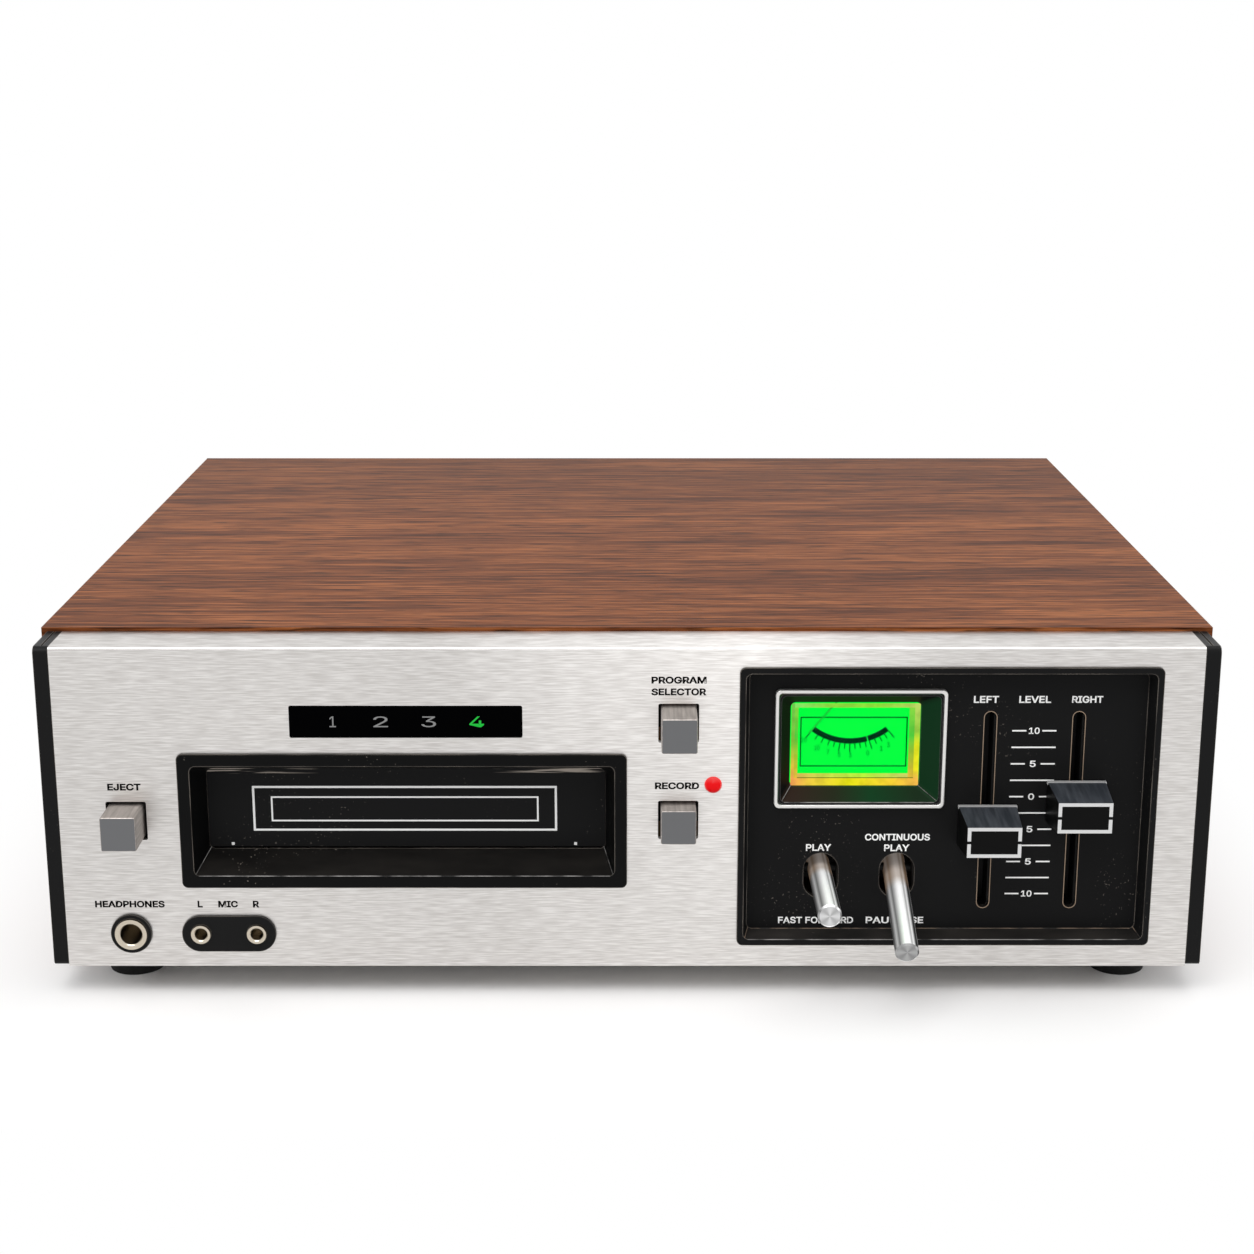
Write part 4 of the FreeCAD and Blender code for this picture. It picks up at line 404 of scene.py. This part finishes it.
def lever_metal(name, tip_low, tip_high):
    """A polished steel rod with long painted highlights, set by the way each face looks, and a
    painted glow. Its tip has a painted reflection of spun wedges between two grey levels,
    and a warm stain marks its root."""
    shader = Shader("lever_metal_" + name)
    # Painted highlights: light and dark bands across the rod, set by the sideways normal.
    around = shader.ranged(shader.facing()[0], -1.0, 1.0)
    wobble = shader.math("MULTIPLY", shader.noise(90.0, (1, 0.15, 1), 2.0), 0.05)
    painted_rod_highlights = shader.ramp(shader.math("ADD", around, wobble), [
        (0.03, 0.06), (0.12, 0.48), (0.21, 0.14), (0.33, 0.52), (0.48, 1.0), (0.62, 0.95),
        (0.71, 0.40), (0.79, 0.90), (0.88, 0.06), (0.95, 0.02), (0.99, 0.30)])
    where = shader.spread()
    tip = shader.ramp(spun_reflection_wedges(shader, name + "_lever", where), [(0.0, tip_low),
                                                                    (1.0, tip_high)])
    front = facing_front(shader, -0.72, -0.85)
    stain = shader.ranged(where[1], FACE_Y - 0.001, FACE_Y + 0.003)
    colour = shader.mix(shader.math("MULTIPLY", stain, 0.6), painted_rod_highlights, (0.30, 0.19, 0.11))
    colour = shader.mix(front, colour, tip)
    # Painted glow: the rod's sides glow in their own colour; the tip's face does not.
    glow = shader.mix(1.0, colour, shader.mix(front, (0.26, 0.26, 0.26), (0, 0, 0)),
                      "MULTIPLY")
    return shader.surface(shader.principled(
        base_color=colour, metallic=0.3, roughness=0.34, specular_ior_level=0.3,
        emission_color=glow, emission_strength=1.0))


def spun_reflection_wedges(shader, node, where):
    """The painted reflection of a turned end face: a bow-tie pattern round the middle of a
    rod's tip.
    """
    low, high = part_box(node)
    radius = (high.x - low.x) / 2
    across = shader.math("SUBTRACT", where[0], (low.x + high.x) / 2)
    up = shader.math("SUBTRACT", where[2], low.z + radius)
    turn = shader.math("ARCTAN2", up, across)
    wave = shader.math("COSINE", shader.math("MULTIPLY", turn, 4.0))
    return shader.ranged(wave, -1.0, 1.0)


def key_cap():
    """A brushed metal cap whose front is a dull grey insert."""
    shader = Shader("key_cap")
    front = facing_front(shader)
    brushed = shader.noise(1.0, (900, 60, 900))
    sides = shader.ramp(brushed, [(0.35, (0.32, 0.29, 0.27)), (0.65, (0.50, 0.46, 0.43))])
    colour = shader.mix(front, sides, (0.140, 0.142, 0.147))
    metallic = shader.math("SUBTRACT", 1.0, front)
    return shader.surface(shader.principled(
        base_color=colour, metallic=metallic, roughness=0.42, specular_ior_level=0.12))


def knob_plastic():
    """Black knobs whose upper face carries a painted bluish sheen."""
    shader = Shader("knob_plastic")
    above = shader.ranged(shader.facing()[2], 0.5, 0.9)
    brushed = shader.noise(1.0, (700, 20, 700))
    painted_top_sheen = shader.ramp(brushed, [(0.35, (0.026, 0.030, 0.036)), (0.65, (0.056, 0.062, 0.072))])
    colour = shader.mix(above, (0.0035, 0.0035, 0.0035), painted_top_sheen)
    return shader.surface(shader.principled(
        base_color=colour, roughness=0.35, specular_ior_level=0.06))


INK_WHITE = plain("ink_white", (0.93, 0.93, 0.92), 0.6, specular=0.2)
INK_BLACK = plain("ink_black", (0.003, 0.003, 0.003), 0.6, specular=0.0)
INK_GREEN = plain("ink_green", (0.0, 0.030, 0.008), 0.7, specular=0.0)
SILVER_FOIL = plain("silver_foil", (0.66, 0.66, 0.66), 0.45, 0.5)
BRONZE_EDGE = plain("bronze_edge", (0.33, 0.24, 0.17), 0.5, 0.5)
# Painted light: the unlit numbers are given a dim grey glow.
DIGIT_GREY_PAINTED_GLOW = glowing("digit_grey_painted_glow", (0.30, 0.30, 0.30), 0.8)
DIGIT_GREEN = glowing("digit_green", (0.015, 0.50, 0.05), 1.0)
# Painted highlight lines on rounded moulding edges; the warm one also shows the tray's scuffs.
HIGHLIGHT_AND_SCUFF_WARM = highlight_and_wear_shader("highlight_and_scuff_warm", (0.34, 0.25, 0.18))
HIGHLIGHT_GREY = highlight_and_wear_shader("highlight_grey", (0.36, 0.35, 0.34))
BLACK_TRAY = dusty_black("black_tray", level=0.0072, roughness=0.45, specular=0.06,
                         dust=0.22, edge_wear_and_highlight=0.5, settled=0.05)
BLACK_GLOSS = dusty_black("black_gloss_plastic", level=0.0035, roughness=0.30, specular=0.06,
                          dust=0.9, edge_wear_and_highlight=0.5, settled=0.028)
BLACK_CAP = dusty_black("black_cap", level=0.006, roughness=0.35, specular=0.10, dust=0.1,
                        edge_wear_and_highlight=0.40)


def paint(material, *nodes):
    for name in nodes:
        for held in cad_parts[name].material_slots:
            held.link = "OBJECT"
            held.material = material


def paint_frame():
    paint(walnut("walnut_top", 0, 1), "top_board")
    paint(walnut("walnut_side", 1, 2), "left_side_board", "right_side_board")
    paint(brushed_aluminium(), "front_panel")
    paint(BLACK_CAP, "left_end_cap", "right_end_cap", "jack_trims")
    paint(BLACK_TRAY, "control_tray")
    paint(BLACK_GLOSS, "cartridge_bezel")
    paint(funnel_black(), "meter_housing")
    paint(dusty_black("black_door", level=0.0085, roughness=0.40, specular=0.06, dust=0.25,
                      scuffed="cartridge_door"), "cartridge_door")
    paint(plain("window_black", (0.001, 0.001, 0.0012), 0.10, specular=0.0),
          "display_window")
    paint(key_cap(), "eject_button", "program_button", "record_button")
    paint(knob_plastic(), "level_knob_left", "level_knob_right")
    paint(plain("bright_frame", (0.74, 0.73, 0.71), 0.35, 0.7), "meter_frame")
    paint(lever_metal("play", 0.42, 0.66), "play_lever")
    paint(lever_metal("pause", 0.26, 0.40), "pause_lever")
    paint(jewel_red(), "record_lamp")
    paint(plain("nickel", (0.56, 0.50, 0.41), 0.25, 1.0), "headphone_jack", "mic_jacks",
          "line_jacks")
    paint(clear_lens(), "meter_lens")
    paint(lit_dial(), "meter_dial")
    # Painted light: the needle glows a dim green, though it is no lamp.
    paint(glowing("needle_painted_glow", (0.0, 0.56, 0.03), 1.0), "meter_needle")
    paint(plain("rubber_black", (0.008, 0.008, 0.008), 0.6, specular=0.2), "rubber_feet",
          "drive_belt")
    paint(plain("moulded_black", (0.008, 0.008, 0.008), 0.5, specular=0.2),
          "button_switches", "level_controls", "cord_gland", "cartridge_guides",
          "lever_pivots")
    paint(plain("zinc_plate", (0.55, 0.55, 0.54), 0.38, 1.0), "bottom_cover", "back_panel",
          "deck_plate", "thrust_bracket", "mechanism_brackets", "lock_arm",
          "meter_movement")
    paint(plain("turned_steel", (0.66, 0.66, 0.66), 0.22, 1.0), "case_screws", "door_pin",
          "torsion_springs", "capstan_shaft", "mechanism_posts", "solenoid_plunger",
          "tape_head")


# Printed marks, small trim, and thin pieces that carry painted highlights and painted light.

def finish_piece(piece, material, body):
    piece.data.materials.append(material)
    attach(piece, body)
    return piece


def add_mesh(name, vertices, faces, material, body):
    mesh = bpy.data.meshes.new(name)
    mesh.from_pydata([tuple(vertex) for vertex in vertices], [], faces)
    mesh.update()
    piece = bpy.data.objects.new(name, mesh)
    bpy.context.collection.objects.link(piece)
    return finish_piece(piece, material, body)


def plates(name, boxes, material, body):
    """Thin upright plates in one mesh. Each box is x, z, width, height, front, back."""
    vertices, faces = [], []
    for x, z, wide, high, front, back in boxes:
        start = len(vertices)
        for depth in (front, back):
            for side, lift in ((-1, -1), (1, -1), (1, 1), (-1, 1)):
                vertices.append(spot(x + side * wide / 2, depth, z + lift * high / 2))
        for face in ((0, 1, 2, 3), (7, 6, 5, 4), (0, 4, 5, 1), (1, 5, 6, 2), (2, 6, 7, 3),
                     (3, 7, 4, 0)):
            faces.append([start + corner for corner in face])
    return add_mesh(name, vertices, faces, material, body)


def outline(x, z, wide, high, line, front, back, gap=0.0):
    """The four strips of a rectangular line, with an optional gap in each side."""
    strips = []
    for lift in (-1, 1):
        strips.append((x, z + lift * (high - line) / 2, wide, line, front, back))
    if gap:
        rise = (high - 2 * line - gap) / 2
        for side in (-1, 1):
            for lift in (-1, 1):
                strips.append((x + side * (wide - line) / 2, z + lift * (gap + rise) / 2,
                               line, rise, front, back))
    else:
        for side in (-1, 1):
            strips.append((x + side * (wide - line) / 2, z, line, high - 2 * line, front,
                           back))
    return strips


def load_sans():
    """The plain sans face of the printed words."""
    folder = bpy.utils.system_resource("DATAFILES", path="fonts")
    return bpy.data.fonts.load(folder + "/Inter.woff2")


SANS = load_sans()


def letters(name, text, x, z, depth, wide, high, material, body, weight=0.0):
    """Upright lettering whose box is centred on x, z and is wide by high. Its weight is the
    rim that makes each stroke bolder, as a share of the letter size."""
    curve = bpy.data.curves.new(name, "FONT")
    curve.body = text
    curve.font = SANS
    curve.align_x = "CENTER"
    curve.size = 1.0
    curve.bevel_depth = weight
    curve.bevel_resolution = 0
    piece = bpy.data.objects.new(name, curve)
    bpy.context.collection.objects.link(piece)
    bpy.context.view_layer.update()
    corners = [Vector(corner) for corner in piece.bound_box]
    low = Vector((min(c.x for c in corners), min(c.y for c in corners), 0))
    top = Vector((max(c.x for c in corners), max(c.y for c in corners), 0))
    across, up = wide * MM / (top.x - low.x), high * MM / (top.y - low.y)
    curve.extrude = INK_THICK / 2
    piece.rotation_euler = (math.radians(90), 0, 0)
    piece.scale = (across, up, MM)
    centre = (low + top) / 2
    piece.location = spot(x, depth - INK_THICK / 2, z) - Vector((centre.x * across, 0,
                                                                centre.y * up))
    return finish_piece(piece, material, body)


def print_panel():
    """The panel's plain function words."""
    for name, text, x, z, wide in (
            ("word_eject", "EJECT", -148.9, 57.1, 9.9),
            ("word_program", "PROGRAM", 15.2, 90.1, 16.1),
            ("word_selector", "SELECTOR", 15.2, 86.5, 16.1),
            ("word_record", "RECORD", 14.8, 57.5, 13.1),
            ("word_headphones", "HEADPHONES", -149.3, 20.0, 20.9),
            ("word_l", "L", -128.2, 20.0, 1.5),
            ("word_mic", "MIC", -119.8, 20.0, 5.9),
            ("word_r", "R", -111.4, 20.0, 1.9)):
        letters(name, text, x, z, 0, wide, WORD_HIGH, INK_BLACK, "cabinet", weight=0.032)


def print_tray():
    """The tray's plain function words and its level scale."""
    for name, text, x, z, wide in (
            ("word_play", "PLAY", 57.6, 36.2, 7.6),
            ("word_fast_forward", "FAST FORWARD", 57.2, 12.8, 22.8),
            ("word_continuous", "CONTINUOUS", 81.2, 39.5, 19.5),
            ("word_play_too", "PLAY", 81.1, 36.1, 7.6),
            ("word_pau", "PAU", 75.9, 12.8, 7.0),
            ("word_se", "SE", 87.9, 12.8, 3.9),
            ("word_left", "LEFT", 106.1, 82.7, 7.4),
            ("word_level", "LEVEL", 120.5, 82.7, 9.4),
            ("word_right", "RIGHT", 136.0, 82.7, 9.2)):
        letters(name, text, x, z, TRAY_FLOOR, wide, WORD_HIGH, INK_WHITE, "cabinet",
                weight=0.022)
    print_scale()


def print_scale():
    """The level scale: long marks, and plain numbers between two short marks."""
    scale_x, scale_top, step = 120.7, 73.0, 5.16
    long_mark, short_mark, short_off, line = 13.1, 4.2, 4.45, 0.45
    rows = ("10", "", "5", "", "0", "", "5", "", "5", "", "10")
    widths, number_high = {"10": 3.2, "5": 1.8, "0": 1.8}, 2.0
    front = TRAY_FLOOR - INK_THICK
    strips = []
    for index, text in enumerate(rows):
        z = scale_top - index * step
        if not text:
            strips.append((scale_x, z, long_mark, line, front, TRAY_FLOOR))
            continue
        for side in (-1, 1):
            strips.append((scale_x + side * short_off, z, short_mark, line, front,
                           TRAY_FLOOR))
        letters("scale_%d" % index, text, scale_x, z, TRAY_FLOOR, widths[text], number_high,
                INK_WHITE, "cabinet", weight=0.016)
    plates("scale_lines", strips, INK_WHITE, "cabinet")


def print_door():
    """Two white rectangles and two dots on the cartridge door."""
    front = DOOR_FACE - INK_THICK
    x, outer_z, inner_z = -67.1, 46.4, 46.4 - 0.15
    outer_wide, outer_high, outer_line = 91.9, 14.3, 0.65
    inner_wide, inner_high, inner_line = 80.8, 8.0, 0.5
    dot, dot_z = 0.9, 35.1
    strips = outline(x, outer_z, outer_wide, outer_high, outer_line, front, DOOR_FACE)
    strips += outline(x, inner_z, inner_wide, inner_high, inner_line, front, DOOR_FACE)
    plates("door_lines", strips, INK_WHITE, "door")
    dots = [(dot_x, dot_z, dot, dot, front, DOOR_FACE) for dot_x in (-119.5, -15.6)]
    plates("door_dots", dots, INK_WHITE, "door")


def show_program():
    """The four program numbers. The fourth one is lit."""
    x, _, z = middle("display_window")
    to_first, pitch, high = 21.45, 14.1, 3.3
    digits = (("1", 1.9, DIGIT_GREY_PAINTED_GLOW), ("2", 4.3, DIGIT_GREY_PAINTED_GLOW), ("3", 4.3, DIGIT_GREY_PAINTED_GLOW),
              ("4", 4.3, DIGIT_GREEN))
    for index, (text, wide, material) in enumerate(digits):
        letters("program_" + text, text, x - to_first + pitch * index, z, 0, wide, high,
                material, "cabinet")


def slot_edges():
    """The worn, coppery edge round each level slot: a thin ring that follows the slot's
    straight sides and round ends."""
    slot_z, half_wide, half_high, edge, steps = 47.9, 1.80, 31.0, 0.22, 10
    proud, sunk = 0.06, 0.02
    front, back = TRAY_FLOOR - proud, TRAY_FLOOR + sunk
    ring = []
    for end in (1, -1):
        for step in range(steps + 1):
            turn = math.pi * step / steps + (0 if end > 0 else math.pi)
            ring.append((math.cos(turn), math.sin(turn), end * (half_high - half_wide)))
    sides = ((0, 2), (2, 3), (3, 1), (1, 0))
    for name, x in (("left", 107.6), ("right", 133.8)):
        vertices, faces = [], []
        for cosine, sine, centre in ring:
            for reach in (half_wide, half_wide + edge):
                for depth in (front, back):
                    vertices.append(spot(x + cosine * reach, depth,
                                         slot_z + centre + sine * reach))
        for index in range(len(ring)):
            here, after = 4 * index, 4 * ((index + 1) % len(ring))
            for first, second in sides:
                faces.append((here + first, here + second, after + second, after + first))
        add_mesh("slot_edge_" + name, vertices, faces, BRONZE_EDGE, "cabinet")


def highlight_and_wear_line(name, points, thick, material):
    """A thin line through points that are given as x, depth and z."""
    curve = bpy.data.curves.new(name, "CURVE")
    curve.dimensions = "3D"
    curve.bevel_depth = thick * MM / 2
    curve.bevel_resolution = 1
    run = curve.splines.new("POLY")
    run.points.add(len(points) - 1)
    for point, place in zip(run.points, points):
        point.co = (*spot(*place), 1.0)
    piece = bpy.data.objects.new(name, curve)
    bpy.context.collection.objects.link(piece)
    return finish_piece(piece, material, "cabinet")


def highlight_and_wear_rim(name, edge, short, thick, material):
    """A painted highlight line, partly rubbed wear, along a moulding's lower edge. It stops
    short of the round corners.
    """
    x, depth, half, low = edge
    highlight_and_wear_line(name, ((x - half + short, depth, low), (x + half - short, depth, low)), thick,
              material)


def highlight_and_wear_corners(name, mouth, inner, thick, material):
    """Painted highlight lines, partly rubbed wear, down a moulding's two lower corners, from
    its mouth to an inner edge.
    """
    inset = 0.5
    for side_name, side in (("left", -1), ("right", 1)):
        points = [(x + side * (half - inset), depth, low + inset)
                  for x, depth, half, low in (mouth, inner)]
        highlight_and_wear_line(name + "_corner_" + side_name, points, thick, material)


def highlight_and_wear_mouldings():
    """Painted highlight lines, partly rubbed wear, on the bezel, the tray and the meter.
    Each edge is given as the x of its middle, its depth, half its width and the z of its
    lower side."""
    front = -0.82
    bezel_mouth, bezel_port = (-66.5, front, 62.8, 29.3), (-66.5, 11.0, 60.0, 33.75)
    tray_mouth, tray_floor = (95.0, front, 60.1, 8.9), (95.0, TRAY_FLOOR, 58.9, 10.1)
    meter_mouth, meter_throat = (69.2, 3.5, 23.55, 51.05), (68.1, 8.4, 19.45, 54.4)
    highlight_and_wear_corners("bezel", bezel_mouth, bezel_port, 0.22, HIGHLIGHT_GREY)
    highlight_and_wear_rim("bezel_lip", bezel_mouth, 1.4, 0.26, HIGHLIGHT_GREY)
    highlight_and_wear_rim("tray_floor_line", tray_floor, 1.4, 0.24, HIGHLIGHT_AND_SCUFF_WARM)
    highlight_and_wear_rim("tray_lip", tray_mouth, 1.4, 0.24, HIGHLIGHT_GREY)
    highlight_and_wear_corners("tray", tray_mouth, tray_floor, 0.22, HIGHLIGHT_AND_SCUFF_WARM)
    highlight_and_wear_rim("meter_lip", meter_mouth, 1.2, 0.24, HIGHLIGHT_GREY)
    highlight_and_wear_corners("meter", meter_mouth, meter_throat, 0.2, HIGHLIGHT_GREY)


def trim_knobs():
    """A silver outline on each knob's front and a bright lip along its top, at the back."""
    frame_wide, frame_high, line, gap, proud, sunk = 15.9, 9.3, 1.05, 0.9, 0.08, 0.05
    lip_wide, lip_high, lip_drop, lip_front, lip_back = 17.5, 0.8, 0.35, 2.8, 4.3
    for side in ("left", "right"):
        node, body = "level_knob_" + side, side + "_level"
        low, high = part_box(node)
        x = (low.x + high.x) / 2 / MM
        z = ((low.z + high.z) / 2 - BASE_Z) / MM
        front = (low.y - FACE_Y) / MM
        strips = outline(x, z, frame_wide, frame_high, line, front - proud, front + sunk, gap)
        plates("knob_line_" + side, strips, SILVER_FOIL, body)
        top = (high.z - BASE_Z) / MM
        lip = (x, top - lip_drop, lip_wide, lip_high, lip_front, lip_back)
        plates("knob_lip_" + side, [lip], SILVER_FOIL, body)


def print_dial():
    """The meter's border, arc, marks and plain numbers."""
    needle_x, pivot_z, radius, arc_thick = 67.1, 84.9, 18.9, 1.7
    border_x, border_z, border_wide, border_high, border_line = 68.2, 66.6, 32.2, 15.7, 0.34
    front = DIAL_FACE - INK_THICK
    border = outline(border_x, border_z, border_wide, border_high, border_line, front,
                     DIAL_FACE)
    plates("dial_border", border, INK_GREEN, "cabinet")

    def polar(angle, reach, depth):
        turn = math.radians(angle)
        return spot(needle_x + math.sin(turn) * reach, depth, pivot_z - math.cos(turn) * reach)

    def sector(name, low, high, inner, outer, steps):
        vertices, faces = [], []
        for step in range(steps + 1):
            angle = low + (high - low) * step / steps
            for reach in (inner, outer):
                vertices.append(polar(angle, reach, front))
        for step in range(steps):
            first = 2 * step
            faces.append((first, first + 1, first + 3, first + 2))
        return add_mesh(name, vertices, faces, INK_GREEN, "cabinet")

    end, gap_low, gap_high = 38, 16.3, 17.3
    sector("dial_arc_low", -end, gap_low, radius - arc_thick, radius, 24)
    sector("dial_arc_high", gap_high, end, radius - arc_thick, radius, 12)
    marks = (-end, -31, -25, -19, -14, -9, -4.5, 0, 4.5, 9, 14, 18, 23, 28, 33, end)
    long_marks = (-end, -9, 0, 18, end)
    long_reach, short_reach, half = 2.65, 1.65, 0.42
    for index, angle in enumerate(marks):
        reach = long_reach if angle in long_marks else short_reach
        sector("dial_mark_%d" % index, angle - half, angle + half, radius, radius + reach, 1)
    numbers = (("20", -38), ("10", -26), ("7", -17), ("5", -8), ("3", 0.5), ("0", 14),
               ("1", 25), ("3", 31))
    number_reach, digit_wide, digit_high = 3.6, 0.8, 1.5
    for index, (text, angle) in enumerate(numbers):
        place = polar(angle, radius + number_reach, 0)
        letters("dial_number_%d" % index, text, place.x / MM, (place.z - BASE_Z) / MM,
                DIAL_FACE, digit_wide * len(text), digit_high, INK_GREEN, "cabinet")


def light_lens_edges():
    """Painted light on the clear cover's edges: glowing plates for the lamp's light that the
    cover carries, warm below and green above.
    """
    front, back = 8.36, 8.4
    left, right, low, high = 48.95, 87.25, 54.75, 80.45
    warm = [(0.0, (0.95, 0.36, 0.10)), (0.14, (0.90, 0.62, 0.06)), (0.45, (0.86, 0.83, 0.01)),
            (0.80, (0.95, 0.66, 0.04)), (1.0, (0.95, 0.50, 0.08))]
    pale = [(0.0, (0.72, 0.50, 0.10)), (0.25, (0.62, 0.78, 0.08)), (0.6, (0.50, 0.92, 0.05)),
            (1.0, (0.62, 0.66, 0.14))]
    outer = [(0.0, (0.95, 0.55, 0.08)), (0.12, (0.93, 0.86, 0.02)), (0.45, (0.78, 0.84, 0.02)),
             (0.62, (0.34, 0.68, 0.06)), (1.0, (0.52, 0.70, 0.14))]
    inner = [(0.0, (0.80, 0.52, 0.05)), (0.3, (0.42, 0.58, 0.04)), (0.6, (0.08, 0.62, 0.05)),
             (1.0, (0.25, 0.70, 0.06))]
    side = [(0.0, (0.95, 0.40, 0.10)), (0.15, (0.80, 0.55, 0.06)), (0.45, (0.25, 0.55, 0.05)),
            (1.0, (0.16, 0.62, 0.08))]
    top = [(0.0, (0.25, 0.80, 0.14)), (0.3, (0.30, 0.78, 0.06)), (0.7, (0.30, 0.82, 0.05)),
           (1.0, (0.48, 0.66, 0.12))]
    shade = [(0.0, (0.16, 0.20, 0.02)), (1.0, (0.12, 0.22, 0.02))]
    floor, line, rear = low + 2.3, low + 2.55, low + 3.8
    left_edge, left_rear = left + 1.0, left + 2.0
    right_edge, right_rear, top_edge = right - 1.6, right - 3.2, high - 1.3
    bands = (("lens_floor", 0, left, low, right, floor, warm),
             ("lens_line", 0, left_rear, floor, right_edge, line, shade),
             ("lens_floor_back", 0, left_rear, line, right_rear, rear, pale),
             ("lens_right", 2, right_edge, floor, right, high, outer),
             ("lens_right_back", 2, right_rear, line, right_edge, top_edge, inner),
             ("lens_left", 2, left, floor, left_edge, high, side),
             ("lens_left_back", 2, left_edge, floor, left_rear, top_edge, inner),
             ("lens_top", 0, left_edge, top_edge, right_edge, high, top))
    for name, axis, x_low, z_low, x_high, z_high, stops in bands:
        ends = (x_low, x_high) if axis == 0 else (z_low, z_high)
        glow = graded_glow(name + "_glow", axis, ends[0], ends[1], stops)
        plates(name, [((x_low + x_high) / 2, (z_low + z_high) / 2, x_high - x_low,
                       z_high - z_low, front, back)], glow, "cabinet")


# Scene.

def set_world():
    """White to the camera and to reflections, and a softer even light on the object."""
    light_strength, seen_strength = 0.62, 1.0
    world = bpy.data.worlds.new("studio")
    bpy.context.scene.world = world
    world.use_nodes = True
    tree = world.node_tree
    tree.nodes.clear()
    rays = tree.nodes.new("ShaderNodeLightPath")
    seen = tree.nodes.new("ShaderNodeMath")
    seen.operation = "MAXIMUM"
    tree.links.new(rays.outputs["Is Camera Ray"], seen.inputs[0])
    tree.links.new(rays.outputs["Is Glossy Ray"], seen.inputs[1])
    through = tree.nodes.new("ShaderNodeMath")
    through.operation = "MAXIMUM"
    tree.links.new(seen.outputs[0], through.inputs[0])
    tree.links.new(rays.outputs["Is Transmission Ray"], through.inputs[1])
    lit = tree.nodes.new("ShaderNodeBackground")
    lit.inputs["Strength"].default_value = light_strength
    shown = tree.nodes.new("ShaderNodeBackground")
    shown.inputs["Strength"].default_value = seen_strength
    for background in (lit, shown):
        background.inputs["Color"].default_value = (1, 1, 1, 1)
    mixed = tree.nodes.new("ShaderNodeMixShader")
    tree.links.new(through.outputs[0], mixed.inputs[0])
    tree.links.new(lit.outputs[0], mixed.inputs[1])
    tree.links.new(shown.outputs[0], mixed.inputs[2])
    output = tree.nodes.new("ShaderNodeOutputWorld")
    tree.links.new(mixed.outputs[0], output.inputs["Surface"])


def add_floor():
    """A pale floor that keeps the shadow near the object and is white a little further out."""
    fade_starts, fade_ends, half, below = -0.03, 0.06, 30.0, 0.0002
    shader = Shader("floor_white")
    where = shader.spread()
    high = Vector(cad_box[1])
    beside = shader.math("SUBTRACT", shader.math("ABSOLUTE", where[0]), high.x)
    before = shader.math("SUBTRACT", shader.math("ABSOLUTE", where[1]), high.y)
    away = shader.math("MAXIMUM", beside, before)
    fade = shader.ranged(away, fade_starts, fade_ends)
    near = shader.node("BsdfDiffuse", {"Color": (0.93, 0.92, 0.915)})
    far = shader.node("Emission", {"Color": (1, 1, 1), "Strength": 1.0})
    shader.surface(shader.blend(fade, near, far))
    mesh = bpy.data.meshes.new("floor")
    mesh.from_pydata([(-half, -half, 0), (half, -half, 0), (half, half, 0), (-half, half, 0)],
                     [], [(0, 1, 2, 3)])
    floor = bpy.data.objects.new("floor", mesh)
    floor.location.z = -below
    bpy.context.collection.objects.link(floor)
    mesh.materials.append(shader.material)


def add_light(name, place, aim, wide, high, power):
    data = bpy.data.lights.new(name, "AREA")
    data.shape = "RECTANGLE"
    data.size = wide
    data.size_y = high
    data.energy = power
    lamp = bpy.data.objects.new(name, data)
    bpy.context.collection.objects.link(lamp)
    lamp.location = place
    lamp.rotation_euler = (Vector(aim) - Vector(place)).to_track_quat("-Z", "Y").to_euler()


def add_lights():
    add_light("key_light", (-0.5, -1.0, 1.5), (0, 0, 0.05), 1.2, 0.9, 13.0)
    add_light("top_light", (0.2, -0.15, 1.7), (0, 0, 0.05), 1.6, 1.2, 12.4)


def add_camera():
    """The photograph's camera: level from side to side, and pitched down by 15 degrees."""
    sensor, lens, pitch, in_front, above = 36.0, 63.67, 15.03, 621.7, 273.1
    data = bpy.data.cameras.new("camera")
    data.sensor_width = sensor
    data.lens = lens
    data.clip_end = 100.0
    camera = bpy.data.objects.new("camera", data)
    bpy.context.collection.objects.link(camera)
    camera.location = spot(0, -in_front, above)
    camera.rotation_euler = (math.radians(90 - pitch), 0, 0)
    bpy.context.scene.camera = camera


paint_frame()
print_panel()
print_tray()
print_door()
show_program()
slot_edges()
highlight_and_wear_mouldings()
trim_knobs()
print_dial()
light_lens_edges()
set_world()
add_floor()
add_lights()
add_camera()
bpy.context.scene.view_settings.view_transform = "Standard"
